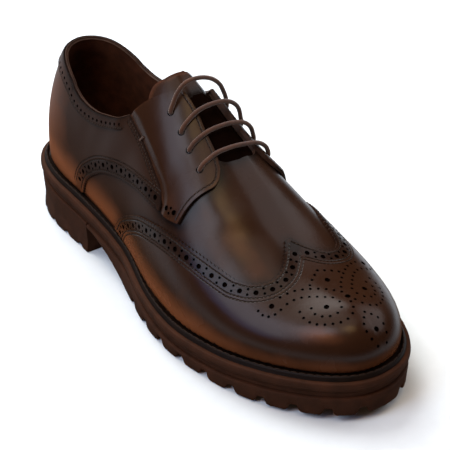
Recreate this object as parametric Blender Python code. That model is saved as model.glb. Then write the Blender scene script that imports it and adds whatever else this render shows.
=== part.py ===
# Right-foot brogue: derby facings over a winged vamp, on a welted lug sole with a separate heel block.
# The toe points to -Y, the outer (lateral) side is -X, and the shoe stands on Z = 0.
import math

import bmesh
import bpy
import numpy as np
from mathutils import Vector
from mathutils.geometry import delaunay_2d_cdt

MM = 0.001

# Last, in millimetres; "along" is measured forward from the back of the feather line
FEATHER_LENGTH = 290.0
HEEL_ROUND = 46.0
HEEL_POWER = 2.26
TOE_ROUND = 79.0
TOE_POWER = 2.27
HEEL_POLE = 51.0
TOE_POLE = 261.0
POLE_BLEND = 9.0
RISE_POWER = 1.2
UNROLL = 0.75
FLAT_END = 210.0
TOE_SPRING = 6.1
SPRING_RUN = 80.0
SWELL_POWER = 0.8
TOP_SLOPE_START = 150.0

# Rises between which the surface's own normal is taken, and the steps that measure slopes
NORMAL_LOW = 0.03
NORMAL_HIGH = 0.95
SKIN_STEP = 0.003
PLAN_STEP = 0.004
HOLE_STEP = 0.01

# Leather thicknesses, as lifts from the outer face of the finished upper
WALL_OUT = -1.4
WALL_IN = -3.4
OVERLAY_IN = -0.8
WING_OUT = 0.2
QUARTER_OUT = 0.3
FACING_OUT = 0.9
COLLAR_IN = 0.85
COLLAR_OUT = 1.55
GORE_OUT = -0.2
TONGUE_OUT = -3.85
TONGUE_IN = -6.0

# Sole layers, as depths below the feather line
BAND_TOP = 1.5
BAND_DEPTH = 6.0
RECESS_DEPTH = 4.0
LAYER_GAP = 0.3
LUG_PITCH = 19.5
LUG_NOTCH = 5.5
LUG_DEPTH = 4.5
LUG_RING = 17.0
LUG_START = 122.0
HEEL_BREAST = 73.0
HEEL_PITCH = 16.0
HEEL_NOTCH = 4.0
HEEL_LUG = 2.4
BREAST_GAP = 1.2
NOTCH_SLOPE = 1.2
NOTCH_END = 0.5
LUG_FADE = (112.0, 14.0)
TREAD_STEP = 0.02
INSOLE_INSET = 4.6
INSOLE_LOW = 0.7
INSOLE_HIGH = 3.4
MIDSOLE_INSET = 3.0
BAND_SWELL = 0.6

# Side of the midsole's band; columns: offset from the sole edge, share of the band's depth
BAND_SIDE = ((0.0, 0.0), (BAND_SWELL, 0.30), (0.5, 0.70), (-0.4, 1.0))
# Recess under the band; columns: offset from the sole edge, share of the recess's depth
RECESS_SIDE = ((-1.5, 0.35), (-1.7, 1.0))
# Upper side of the outsole and of the heel block; columns: offset from the sole edge, depth below the top
OUTSOLE_SIDE = ((-1.6, 0.0), (-0.1, 0.8), (0.1, 1.8))
OUTSOLE_FOOT = -0.6
OUTSOLE_STEP = 1.5
HEEL_SIDE = ((-1.6, 0.0), (-0.3, 0.8))
HEEL_WAIST = (-1.2, 0.45)
HEEL_FLARE = (-0.4, 1.0)
HEEL_FOOT = -0.9
HEEL_RING = 13.0
HEEL_STEP = 1.0
# Section of the welt; columns: offset from the feather line, height above it
WELT_INNER = ((-8.0, -1.2), (-8.0, -0.4), (1.3, -0.4), (1.9, 0.9), (2.9, 1.3))
WELT_OUTER = ((3.9, 0.7), (4.6, -1.2))
WELT_EDGE = 6.5

LACE_RADIUS = 1.5
LACE_SIDES = 6
LACE_POINTS = 6
LACE_REST = 2.8
LACE_ARCH = 1.4
LACE_ARCH_POWER = 0.8
LACE_CROWN = 0.985
LACE_HOLE = 2.2
LACE_HOLE_SIDES = 10
GORE_WIDTH = 8.0
GORE_CLEARANCE = 1.0
SEAM_CLEARANCE = 0.9

COLUMNS = ("along", "centre", "lateral", "medial", "feather", "spine", "spine_x", "lateral_power",
           "medial_power", "bulge")
SECTIONS = (
    (0, 0.0, 29.5, 29.7, 37.5, 136.0, 0.0, 1.00, 1.00, 1.0),
    (35, 0.0, 29.5, 29.7, 36.1, 137.3, 0.0, 1.00, 1.00, 2.2),
    (75, -0.5, 31.8, 30.6, 33.9, 142.4, 4.5, 1.00, 1.00, 2.8),
    (115, -0.5, 36.3, 32.1, 27.9, 136.0, 7.3, 0.95, 0.90, 2.6),
    (150, 0.0, 46.1, 37.7, 22.7, 113.5, 7.4, 0.90, 0.78, 2.8),
    (185, 1.0, 51.0, 46.0, 19.9, 89.3, 5.7, 0.85, 0.70, 3.4),
    (215, 2.0, 49.1, 49.7, 21.2, 69.5, 4.2, 0.80, 0.68, 3.2),
    (245, 3.0, 44.8, 47.3, 24.6, 60.3, 3.7, 0.75, 0.71, 2.7),
    (270, 4.0, 40.3, 43.7, 27.5, 59.3, 4.0, 0.75, 0.76, 2.0),
    (290, 4.5, 37.2, 40.8, 30.5, 59.4, 5.1, 0.75, 0.77, 1.5),
)
TABLE = {name: np.array([row[i] for row in SECTIONS], float) for i, name in enumerate(COLUMNS)}

# Width of the sole edge outside the feather line, and height of the bottom under the waist
EDGE = ((0, 6.2), (43, 6.4), (73, 5.6), (100, 4.6), (132, 4.7), (163, 6.3), (198, 6.5), (290, 6.5))
WAIST = ((70, 20.0), (78, 18.6), (97, 11.5), (110, 5.5), (120, 1.4), (126, 0.0), (130, 0.0))

# Pattern lines; columns: along, rise on the lateral side, rise on the medial side.
# Rise is 0 at the feather line and 1 at the spine of the last.
TOPLINE = ((0, 0.606, 0.606), (16, 0.588, 0.580), (40, 0.538, 0.522), (59, 0.481, 0.470),
           (73, 0.475, 0.467), (84, 0.493, 0.485), (95, 0.521, 0.512), (104.5, 0.572, 0.545))
FACING_TOP = ((104.5, 0.572, 0.545), (111, 0.665, 0.585), (117, 0.746, 0.635), (122.4, 0.832, 0.705),
              (125.3, 0.894, 0.745))
THROAT = ((125.3, 0.894, 0.745), (137.5, 0.905, 0.745), (149.6, 0.891, 0.732), (161.6, 0.878, 0.730),
          (167.9, 0.857, 0.700))
FACING_FRONT = ((167.9, 0.857, 0.700), (171.5, 0.820, 0.655), (172.5, 0.784, 0.610), (171.3, 0.730, 0.550),
                (169.9, 0.673, 0.485), (168.8, 0.584, 0.400), (168.7, 0.505, 0.330))
FACING_FOOT = ((168.7, 0.505, 0.330), (160.0, 0.463, 0.303), (154.5, 0.447, 0.288))
SEAM = ((152.8, 0.447, 0.288), (152.2, 0.480, 0.310), (148.3, 0.517, 0.340), (137.8, 0.534, 0.380),
        (121.2, 0.547, 0.430), (104.5, 0.572, 0.545))
BAND_EDGE = ((62.0, 0.030, 0.030), (67.9, 0.133, 0.120), (77.0, 0.202, 0.185), (86.3, 0.250, 0.225),
             (98.9, 0.290, 0.250), (118.8, 0.341, 0.270), (139.7, 0.406, 0.282), (152.8, 0.447, 0.288))
WING = ((100.8, 0.030, 0.030), (109.2, 0.129, 0.085), (122.7, 0.215, 0.130), (138.2, 0.304, 0.185),
        (150.5, 0.361, 0.220), (170.6, 0.444, 0.310), (187.7, 0.501, 0.430), (202.9, 0.547, 0.545),
        (213.5, 0.584, 0.585), (221.7, 0.646, 0.640), (226.0, 0.718, 0.715), (226.2, 0.816, 0.812),
        (221.3, 0.901, 0.898), (212.4, 0.990, 0.990))
THROAT_END = ((158.0, 0.860, 0.712), (163.0, 0.875, 0.740), (166.0, 0.910, 0.800), (168.0, 0.990, 0.990))
COLLAR_LOW = ((0, 0.532, 0.532), (21, 0.512, 0.505), (40.4, 0.471, 0.458), (56.5, 0.422, 0.412),
              (70.3, 0.417, 0.409), (84.7, 0.440, 0.433), (97.6, 0.477, 0.466), (104.0, 0.500, 0.480))
TONGUE = ((116.5, 0.990, 0.990), (114.5, 0.860, 0.780), (111.0, 0.740, 0.660), (113.5, 0.690, 0.600),
          (130.0, 0.690, 0.590), (150.0, 0.740, 0.610), (170.0, 0.790, 0.650), (180.0, 0.850, 0.760),
          (183.0, 0.990, 0.990))
LACE_HOLES = ((129.6, 0.764, 0.615), (140.8, 0.765, 0.600), (150.4, 0.757, 0.585), (161.4, 0.755, 0.580))
OVERLAY_FOOT = 0.030
QUARTER_FOOT_END = 60.0
# Rises by which a piece stops short of its neighbour's line
THROAT_LAP = (0.022, 0.018)
COLLAR_DROP = 0.006
GORE_DROP = 0.004
GORE_TOP = 0.560
FACING_GORE_TOP = 0.566

DARK_LEATHER = (0.060, 0.033, 0.022, 1.0)
BROWN_LEATHER = (0.090, 0.045, 0.025, 1.0)
BROWN_RUBBER = (0.105, 0.055, 0.032, 1.0)
LACE_BROWN = (0.130, 0.060, 0.038, 1.0)
GORE_BROWN = (0.035, 0.022, 0.018, 1.0)

HEEL_STATIONS = (0, 0.06, 0.14, 0.24, 0.36, 0.50, 0.66, 0.83, 1)
STATIONS = np.concatenate([HEEL_STATIONS, np.linspace(1, 2, 17)[1:], np.linspace(2, 3, 11)[1:]])
ROWS = np.linspace(0.0, 1.0, 12)
WAIST_STATIONS = (HEEL_BREAST + BREAST_GAP, 80, 88, 97, 105, 112, 118, LUG_START)
# Least distances between a mesh's points: doubled outline points, grid points, grid and outline
SAME_POINT = 0.15
SAME_TURN = 0.02
GRID_SPACING = 3.4
OUTLINE_SPACING = 1.4
# Outline steps, as the distance between points along a pattern line
LINE_STEP = 5.0
CURVE_STEP = 4.0
TIGHT_STEP = 3.5
TONGUE_STEP = 6.0


def hermite(knots, values, at, slope=False):
    """Smooth curve through the values at the knots, or its slope."""
    at = np.clip(np.asarray(at, float), knots[0], knots[-1])
    step = np.diff(knots)
    chord = np.diff(values) / step
    tangent = np.empty_like(values)
    tangent[0] = chord[0]
    tangent[-1] = chord[-1]
    tangent[1:-1] = (chord[:-1] * step[1:] + chord[1:] * step[:-1]) / (step[1:] + step[:-1])
    i = np.clip(np.searchsorted(knots, at, side="right") - 1, 0, len(knots) - 2)
    width = step[i]
    t = (at - knots[i]) / width
    if slope:
        run = (6 * t * t - 6 * t) * (values[i] - values[i + 1]) / width
        return run + (1 - 4 * t + 3 * t * t) * tangent[i] + (3 * t * t - 2 * t) * tangent[i + 1]
    ends = (1 + 2 * t) * (1 - t) ** 2 * values[i] + t * t * (3 - 2 * t) * values[i + 1]
    return ends + width * (t * (1 - t) ** 2 * tangent[i] + t * t * (t - 1) * tangent[i + 1])


def section(name, along, slope=False):
    return hermite(TABLE["along"], TABLE[name], along, slope)


def look_up(rows, along):
    rows = np.array(rows, float)
    return hermite(rows[:, 0], rows[:, 1], along)


def place(turn):
    """Along and side of a turn: 0 is the back of the heel, 3 the toe on the lateral way, 6 the back."""
    turn = np.mod(np.asarray(turn, float), 6.0)
    half = np.where(turn <= 3, turn, 6 - turn)
    side = np.where(turn <= 3, -1.0, 1.0)
    heel = HEEL_ROUND * (1 - np.cos(np.clip(half, 0, 1) * math.pi / 2))
    middle = (FEATHER_LENGTH - TOE_ROUND - HEEL_ROUND) * np.clip(half - 1, 0, 1)
    toe = TOE_ROUND * np.sin(np.clip(half - 2, 0, 1) * math.pi / 2)
    return heel + middle + toe, side


def turn_at(along, side):
    along = np.asarray(along, float)
    heel = np.arccos(np.clip(1 - along / HEEL_ROUND, -1, 1)) / (math.pi / 2)
    start = FEATHER_LENGTH - TOE_ROUND
    middle = 1 + (along - HEEL_ROUND) / (start - HEEL_ROUND)
    toe = 2 + np.arcsin(np.clip((along - start) / TOE_ROUND, 0, 1)) / (math.pi / 2)
    half = np.where(along < HEEL_ROUND, heel, np.where(along < start, middle, toe))
    return half if side < 0 else 6 - half


def feather(turn):
    """Plan of the feather line: across and along."""
    along, side = place(turn)
    back = np.clip((HEEL_ROUND - along) / HEEL_ROUND, 0, 1)
    front = np.clip((along - FEATHER_LENGTH + TOE_ROUND) / TOE_ROUND, 0, 1)
    ends = (1 - back ** HEEL_POWER) ** (1 / HEEL_POWER) * (1 - front ** TOE_POWER) ** (1 / TOE_POWER)
    half = np.where(side < 0, section("lateral", along), section("medial", along))
    return section("centre", along) + side * half * ends, along


def feather_normal(turn):
    ahead = feather(np.asarray(turn) + PLAN_STEP)
    behind = feather(np.asarray(turn) - PLAN_STEP)
    dx = ahead[0] - behind[0]
    dy = ahead[1] - behind[1]
    size = np.hypot(dx, dy)
    return -dy / size, dx / size


def spine_along(along):
    front = -POLE_BLEND * np.logaddexp(-along / POLE_BLEND, -TOE_POLE / POLE_BLEND)
    return POLE_BLEND * np.logaddexp(front / POLE_BLEND, HEEL_POLE / POLE_BLEND)


def last(turn, rise):
    """Point of the last's surface."""
    turn, rise = np.broadcast_arrays(np.asarray(turn, float), np.asarray(rise, float))
    along, side = place(turn)
    fx, fy = feather(turn)
    nx, ny = feather_normal(turn)
    fz = section("feather", along)
    sy = spine_along(along)
    sx = section("spine_x", sy)
    sz = section("spine", sy)
    power = np.where(side < 0, section("lateral_power", along), section("medial_power", along))
    angle = math.pi / 2 * rise ** RISE_POWER
    across = 1 - np.cos(angle)
    up = np.sin(angle) ** power
    slope = np.where(along > TOP_SLOPE_START, section("spine", sy, True) * (sy - along), 0)
    swell = section("bulge", along) * np.sin(math.pi * up ** SWELL_POWER)
    x = fx + (sx - fx) * across + nx * swell
    y = fy + (sy - fy) * across + ny * swell
    z = fz + (sz - fz - slope) * up + slope * across
    return np.stack([x, -y, z], -1)


def skin(turn, rise, lift):
    """Point at a lift outside the last, along its normal."""
    turn, rise = np.broadcast_arrays(np.asarray(turn, float), np.asarray(rise, float))
    at = np.clip(rise, NORMAL_LOW, NORMAL_HIGH)
    around = last(turn + SKIN_STEP, at) - last(turn - SKIN_STEP, at)
    upward = last(turn, at + SKIN_STEP) - last(turn, at - SKIN_STEP)
    out = np.cross(around, upward)
    out /= np.linalg.norm(out, axis=-1)[..., None]
    return last(turn, rise) + out * np.broadcast_to(lift, turn.shape)[..., None]


def flat_plan(points):
    """The patch plane: the upper unrolled from its spine, each column laid out straight."""
    turn = points[:, 0]
    rise = points[:, 1]
    fx, fy = feather(turn)
    sy = spine_along(fy)
    sx = section("spine_x", sy)
    column = last(turn[:, None], np.linspace(0, 1, 19)[None])
    girth = np.linalg.norm(np.diff(column, axis=1), axis=2).sum(1)
    size = np.hypot(fx - sx, fy - sy)
    reach = UNROLL * girth * (1 - rise) / size
    return np.stack([sx + (fx - sx) * reach, sy + (fy - sy) * reach], -1)


def trace(rows, side, step=LINE_STEP):
    """Turn and rise along a pattern line on one side, as a smooth curve through its rows."""
    rows = np.array(rows, float)
    turn = turn_at(rows[:, 0], side)
    rise = rows[:, 1 if side < 0 else 2].copy()
    chords = np.linalg.norm(np.diff(last(turn, rise), axis=0), axis=1)
    knots = np.concatenate([[0], np.cumsum(chords)])
    at = np.linspace(0, knots[-1], max(2, int(round(knots[-1] / step)) + 1))
    return np.stack([hermite(knots, turn, at), np.clip(hermite(knots, rise, at), 0, 1)], -1)


def joined(*traces):
    """Traces end to end without their doubled ends."""
    points = np.concatenate(traces)
    plan = flat_plan(points)
    keep = [0]
    for i in range(1, len(points)):
        if np.hypot(*(plan[i] - plan[keep[-1]])) > SAME_POINT:
            keep.append(i)
    if np.hypot(*(plan[keep[-1]] - plan[keep[0]])) < SAME_POINT:
        keep.pop()
    return points[keep]


def inside(loop, points):
    """True where a point is inside the closed loop."""
    x = points[:, 0][:, None]
    y = points[:, 1][:, None]
    ax = loop[:, 0][None]
    ay = loop[:, 1][None]
    bx = np.roll(loop[:, 0], -1)[None]
    by = np.roll(loop[:, 1], -1)[None]
    crosses = (ay > y) != (by > y)
    run = np.where(crosses, by - ay, 1)
    return (crosses & (x < ax + (y - ay) * (bx - ax) / run)).sum(1) % 2 == 1


def distance(loop, points):
    """Least distance from each point to the closed loop."""
    a = loop[None]
    d = (np.roll(loop, -1, axis=0) - loop)[None]
    p = points[:, None]
    t = np.clip(((p - a) * d).sum(-1) / np.maximum((d * d).sum(-1), 1e-9), 0, 1)
    return np.linalg.norm(a + t[..., None] * d - p, axis=-1).min(1)


def grid_points():
    """Turn and rise of the shared grid, without crowded points round the toe's pole."""
    turns = np.concatenate([STATIONS, 6 - STATIONS[1:-1]])
    points = []
    for rise in ROWS[1:]:
        for turn in turns if rise < 1 else STATIONS:
            points.append((turn, rise))
    points = np.array(points)
    solid = last(points[:, 0], points[:, 1])
    keep = []
    for i in range(len(points)):
        if not keep or np.linalg.norm(solid[keep] - solid[i], axis=1).min() > GRID_SPACING:
            keep.append(i)
    return points[keep]


def material(name, colour, roughness):
    made = bpy.data.materials.new(name)
    made.use_nodes = True
    shader = made.node_tree.nodes["Principled BSDF"]
    shader.inputs["Base Color"].default_value = colour
    shader.inputs["Roughness"].default_value = roughness
    shader.inputs["Metallic"].default_value = 0.0
    return made


def add_object(name, points, faces, surface):
    """One closed mesh object from points in millimetres."""
    mesh = bpy.data.meshes.new(name)
    placed = (np.asarray(points, float) + SHIFT) * MM
    mesh.from_pydata(placed.tolist(), [], [list(face) for face in faces])
    work = bmesh.new()
    work.from_mesh(mesh)
    bmesh.ops.recalc_face_normals(work, faces=work.faces[:])
    if work.calc_volume(signed=True) < 0:
        bmesh.ops.reverse_faces(work, faces=work.faces[:])
    work.to_mesh(mesh)
    work.free()
    made = bpy.data.objects.new(name, mesh)
    mesh.materials.append(surface)
    bpy.context.scene.collection.objects.link(made)
    made.parent = shoe
    return made


def patch(name, outline, low, high, surface, holes=()):
    """A leather piece cut from the last's own surface between two lifts."""
    loops = [outline, *holes]
    plans = [flat_plan(loop) for loop in loops]
    plan = flat_plan(GRID)
    keep = inside(plans[0], plan) & (distance(plans[0], plan) > OUTLINE_SPACING)
    for hole in plans[1:]:
        keep &= ~inside(hole, plan) & (distance(hole, plan) > OUTLINE_SPACING)
    points = np.concatenate([*loops, GRID[keep]])
    plan = flat_plan(points)
    edges = []
    start = 0
    for loop in loops:
        count = len(loop)
        edges += [(start + i, start + (i + 1) % count) for i in range(count)]
        start += count
    made = delaunay_2d_cdt([Vector(p) for p in plan], edges, [], 0, 1e-5)
    source = [ids[0] for ids in made[3]]
    faces = [tuple(source[i] for i in face) for face in made[2]]
    middle = np.array([plan[list(face)].mean(0) for face in faces])
    kept = inside(plans[0], middle)
    for hole in plans[1:]:
        kept &= ~inside(hole, middle)
    faces = [face for face, stays in zip(faces, kept) if stays]
    count = len(points)
    outer = skin(points[:, 0], points[:, 1], high)
    inner = skin(points[:, 0], points[:, 1], low)
    uses = {}
    for a, b, c in faces:
        for edge in ((a, b), (b, c), (c, a)):
            uses[edge] = True
    rims = [(a, b) for a, b in uses if (b, a) not in uses]
    solid = list(faces)
    solid += [(c + count, b + count, a + count) for a, b, c in faces]
    solid += [(b, a, a + count, b + count) for a, b in rims]
    used = sorted({i for face in solid for i in face})
    index = {old: new for new, old in enumerate(used)}
    both = np.concatenate([outer, inner])
    return add_object(name, both[used], [[index[i] for i in face] for face in solid], surface)


def sole_edge(along):
    return look_up(EDGE, along)


def outline_at(turn, offset):
    """Plan of a sole loop at an offset outside the feather line, as X and Y."""
    fx, fy = feather(turn)
    nx, ny = feather_normal(turn)
    return fx + nx * offset, -(fy + ny * offset)


def stack(name, stations, levels, surface):
    """A solid of loops stacked from its top to its bottom; a level gives offset and height by station."""
    rear_shared = stations[0] == 0
    front_shared = stations[-1] == 3
    count = len(stations)
    points = []
    index = np.zeros((len(levels), 2, count), int)
    for j, (offset, height) in enumerate(levels):
        for side in (0, 1):
            turn = stations if side == 0 else 6 - stations
            x, y = outline_at(turn, offset)
            for i in range(count):
                shared = (i == 0 and rear_shared) or (i == count - 1 and front_shared)
                if side == 1 and shared:
                    index[j, 1, i] = index[j, 0, i]
                    continue
                index[j, side, i] = len(points)
                points.append((x[i], y[i], np.broadcast_to(height, count)[i]))
    faces = []
    for j in range(len(levels) - 1):
        for side in (0, 1):
            for i in range(count - 1):
                a, b = index[j, side, i], index[j, side, i + 1]
                c, d = index[j + 1, side, i + 1], index[j + 1, side, i]
                faces += [(a, b, c), (a, c, d)]
        for i, shared in ((0, rear_shared), (count - 1, front_shared)):
            if not shared:
                a, b = index[j, 0, i], index[j, 1, i]
                c, d = index[j + 1, 1, i], index[j + 1, 0, i]
                faces += [(a, b, c), (a, c, d)]
    for j in (0, len(levels) - 1):
        for i in range(count - 1):
            ring = [index[j, 0, i], index[j, 0, i + 1], index[j, 1, i + 1], index[j, 1, i]]
            ring = list(dict.fromkeys(ring))
            faces.append(tuple(ring[:3]))
            if len(ring) == 4:
                faces.append((ring[0], ring[2], ring[3]))
    return add_object(name, points, faces, surface)


def sweep_ring(name, stations, inner, outer, surface):
    """A closed strip round the whole feather line, whose outer side follows the width of the sole edge."""
    turns = np.concatenate([stations, 6 - stations[-2:0:-1]])
    along, _ = place(turns)
    height = section("feather", along)
    points = []
    for offset, rise in inner:
        x, y = outline_at(turns, offset)
        points.append(np.stack([x, y, height + rise], -1))
    for offset, rise in outer:
        x, y = outline_at(turns, offset + sole_edge(along) - WELT_EDGE)
        points.append(np.stack([x, y, height + rise], -1))
    count = len(turns)
    rings = len(points)
    faces = []
    for j in range(rings):
        k = (j + 1) % rings
        for i in range(count):
            n = (i + 1) % count
            faces.append((j * count + i, j * count + n, k * count + n, k * count + i))
    return add_object(name, np.concatenate(points), faces, surface)


def notched(start_turn, end_turn, pitch, notch):
    """Stations with the notch edges between them, and whether each stands on a lug."""
    fine = np.linspace(start_turn, end_turn, 400)
    x, y = outline_at(fine, sole_edge(place(fine)[0]))
    run = np.concatenate([[0], np.cumsum(np.hypot(np.diff(x), np.diff(y)))])
    count = int(run[-1] // pitch)
    first = (run[-1] - (count - 1) * pitch) / 2
    places = []
    for i in range(count):
        middle = first + i * pitch
        places += [(middle - notch / 2 - NOTCH_SLOPE, 1), (middle - notch / 2, 0)]
        places += [(middle + notch / 2, 0), (middle + notch / 2 + NOTCH_SLOPE, 1)]
        places.append((middle + pitch / 2, 1))
    places = [(run_at, lug) for run_at, lug in places if NOTCH_END < run_at < run[-1] - NOTCH_END]
    turns = np.interp([p[0] for p in places], run, fine)
    return turns, np.array([p[1] for p in places])


def lace_hole(along, rise, side):
    """Ring of turn and rise round a punched hole of the facing."""
    centre = np.array([turn_at(along, side), rise])
    turn = centre[0]
    around = np.linalg.norm(last(turn + HOLE_STEP, rise) - last(turn - HOLE_STEP, rise)) / (2 * HOLE_STEP)
    upward = np.linalg.norm(last(turn, rise + HOLE_STEP) - last(turn, rise - HOLE_STEP)) / (2 * HOLE_STEP)
    angle = np.linspace(0, 2 * math.pi, LACE_HOLE_SIDES + 1)[:-1]
    ring = np.stack([np.cos(angle) / around, np.sin(angle) / upward], -1)
    return centre + LACE_HOLE * ring


def lace_bar(name, row, surface):
    """A round lace running across the throat from one hole to the other."""
    along, lateral, medial = row
    near = [(turn_at(along, -1), rise) for rise in np.linspace(lateral, LACE_CROWN, LACE_POINTS)]
    far = [(turn_at(along, 1), rise) for rise in np.linspace(LACE_CROWN, medial, LACE_POINTS)]
    path = np.array(near + far)
    share = np.linspace(0, 1, len(path))
    lift = LACE_REST + LACE_ARCH * np.sin(math.pi * share) ** LACE_ARCH_POWER
    centre = skin(path[:, 0], path[:, 1], lift)
    run = np.gradient(centre, axis=0)
    run /= np.linalg.norm(run, axis=1)[:, None]
    across = np.cross(run, np.array([0.0, 1.0, 0.0]))
    across /= np.linalg.norm(across, axis=1)[:, None]
    third = np.cross(run, across)
    points = []
    for k in range(LACE_SIDES):
        angle = 2 * math.pi * k / LACE_SIDES
        points.append(centre + LACE_RADIUS * (math.cos(angle) * across + math.sin(angle) * third))
    count = len(centre)
    faces = []
    for k in range(LACE_SIDES):
        n = (k + 1) % LACE_SIDES
        for i in range(count - 1):
            faces.append((k * count + i, k * count + i + 1, n * count + i + 1, n * count + i))
    faces.append([k * count for k in range(LACE_SIDES)])
    faces.append([k * count + count - 1 for k in reversed(range(LACE_SIDES))])
    return add_object(name, np.concatenate(points), faces, surface)


for old in list(bpy.data.objects):
    bpy.data.objects.remove(old, do_unlink=True)

shoe = bpy.data.objects.new("shoe", None)
bpy.context.scene.collection.objects.link(shoe)

# The origin is under the middle of the sole's outline
rim_turns = np.linspace(0, 6, 601)
rim_x, rim_y = outline_at(rim_turns, sole_edge(place(rim_turns)[0]) + BAND_SWELL)
SHIFT = np.array([-(rim_x.max() + rim_x.min()) / 2, -(rim_y.max() + rim_y.min()) / 2, 0.0])
GRID = grid_points()

leather = material("burnished_calf_leather", DARK_LEATHER, 0.38)
lining = material("brown_lining_leather", BROWN_LEATHER, 0.6)
rubber = material("moulded_brown_rubber", BROWN_RUBBER, 0.6)
cord = material("round_waxed_lace", LACE_BROWN, 0.7)
elastic = material("ribbed_elastic", GORE_BROWN, 0.8)

# Sole layers
along_full = place(STATIONS)[0]
feather_full = section("feather", along_full)
edge_full = sole_edge(along_full)
band_foot = BAND_TOP + BAND_DEPTH
recess_foot = band_foot + RECESS_DEPTH
midsole_levels = [(-MIDSOLE_INSET, feather_full - BAND_TOP)]
for offset, share in BAND_SIDE:
    midsole_levels.append((edge_full + offset, feather_full - BAND_TOP - share * BAND_DEPTH))
for offset, share in RECESS_SIDE:
    midsole_levels.append((edge_full + offset, feather_full - band_foot - share * RECESS_DEPTH))
stack("midsole", STATIONS, midsole_levels, rubber)

sweep_ring("welt", STATIONS, WELT_INNER, WELT_OUTER, lining)

insole_levels = [(-INSOLE_INSET, feather_full + INSOLE_HIGH), (-INSOLE_INSET, feather_full + INSOLE_LOW)]
stack("insole", STATIONS, insole_levels, lining)

tread_turns, tread_lugs = notched(turn_at(LUG_START, -1), 3.0, LUG_PITCH, LUG_NOTCH)
waist_turns = turn_at(np.array(WAIST_STATIONS), -1)
tread_turns = np.concatenate([waist_turns, tread_turns, [3.0]])
tread_lugs = np.concatenate([np.ones(len(waist_turns)), tread_lugs, [1]])
along_tread = place(tread_turns)[0]
feather_tread = section("feather", along_tread)
edge_tread = sole_edge(along_tread)
spring = TOE_SPRING * (np.clip(along_tread - FLAT_END, 0, None) / SPRING_RUN) ** 2
ground = look_up(WAIST, along_tread) + spring
ceiling = feather_tread - recess_foot - LAYER_GAP
lug_share = np.clip((along_tread - LUG_FADE[0]) / LUG_FADE[1], 0, 1)
hollow = ground + LUG_DEPTH * lug_share
foot = np.where(tread_lugs > 0, ground, hollow)
outsole_levels = [(edge_tread + offset, ceiling - depth) for offset, depth in OUTSOLE_SIDE]
outsole_levels += [
    (edge_tread + OUTSOLE_FOOT, foot),
    (edge_tread - LUG_RING, foot),
    (edge_tread - LUG_RING - OUTSOLE_STEP, hollow + TREAD_STEP),
]
stack("outsole", tread_turns, outsole_levels, rubber)

heel_turns, heel_lugs = notched(0.0, float(turn_at(HEEL_BREAST, -1)), HEEL_PITCH, HEEL_NOTCH)
heel_turns = np.concatenate([[0.0], heel_turns, [float(turn_at(HEEL_BREAST, -1))]])
heel_lugs = np.concatenate([[1], heel_lugs, [1]])
along_heel = place(heel_turns)[0]
feather_heel = section("feather", along_heel)
edge_heel = sole_edge(along_heel)
heel_top = feather_heel - recess_foot - LAYER_GAP
heel_foot = np.where(heel_lugs > 0, 0.0, HEEL_LUG)
heel_levels = [(edge_heel + offset, heel_top - depth) for offset, depth in HEEL_SIDE]
heel_levels += [
    (edge_heel + HEEL_WAIST[0], HEEL_WAIST[1] * heel_top),
    (edge_heel + HEEL_FLARE[0], heel_foot + HEEL_FLARE[1]),
    (edge_heel + HEEL_FOOT, heel_foot),
    (edge_heel - HEEL_RING, heel_foot),
    (edge_heel - HEEL_RING - HEEL_STEP, HEEL_LUG + TREAD_STEP),
]
stack("heel", heel_turns, heel_levels, rubber)

# Upper and tongue
all_turns = np.concatenate([STATIONS, 6 - STATIONS[-2:0:-1]])
foot_loop = np.stack([all_turns, np.zeros(len(all_turns))], -1)
throat_rear = [(row[0], row[1] - THROAT_LAP[0], row[2] - THROAT_LAP[1]) for row in THROAT[:3]]
throat_rows = (*throat_rear, *THROAT_END)
opening_halves = []
for side in (-1, 1):
    run = joined(trace(TOPLINE, side), trace(FACING_TOP, side, TIGHT_STEP),
                 trace(throat_rows, side, CURVE_STEP))
    opening_halves.append(run)
opening = joined(opening_halves[0], opening_halves[1][::-1])
patch("upper", foot_loop, WALL_IN, WALL_OUT, leather, [opening])

tongue_outline = joined(trace(TONGUE, -1, TONGUE_STEP), trace(TONGUE, 1, TONGUE_STEP)[::-1])
patch("tongue", tongue_outline, TONGUE_IN, TONGUE_OUT, lining)

# Overlays
wing_start, wing_end = (float(turn_at(WING[0][0], side)) for side in (-1, 1))
inner_turns = all_turns[(all_turns > wing_start + SAME_TURN) & (all_turns < wing_end - SAME_TURN)]
wing_foot = np.stack([inner_turns, np.full(len(inner_turns), OVERLAY_FOOT)], -1)
wing_outline = joined(trace(WING, -1)[::-1], wing_foot, trace(WING, 1))
patch("wing_cap", wing_outline, OVERLAY_IN, WING_OUT, leather)

for side, name in ((-1, "facing_lateral"), (1, "facing_medial")):
    if side > 0:
        top = FACING_TOP[1:]
        seam = [(row[0] + GORE_WIDTH, row[1], row[2] - GORE_DROP) for row in SEAM[1:-1]]
        seam.append((SEAM[-1][0] + GORE_WIDTH, 0.0, FACING_GORE_TOP))
    else:
        top = FACING_TOP
        seam = [(row[0] + SEAM_CLEARANCE, row[1], row[2]) for row in SEAM[1:]]
    run = joined(trace(top, side, TIGHT_STEP), trace(THROAT, side), trace(FACING_FRONT, side, CURVE_STEP),
                 trace(FACING_FOOT, side), trace(seam, side))
    rings = [lace_hole(row[0], row[1] if side < 0 else row[2], side) for row in LACE_HOLES]
    patch(name, run, OVERLAY_IN, FACING_OUT, leather, rings)

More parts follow.
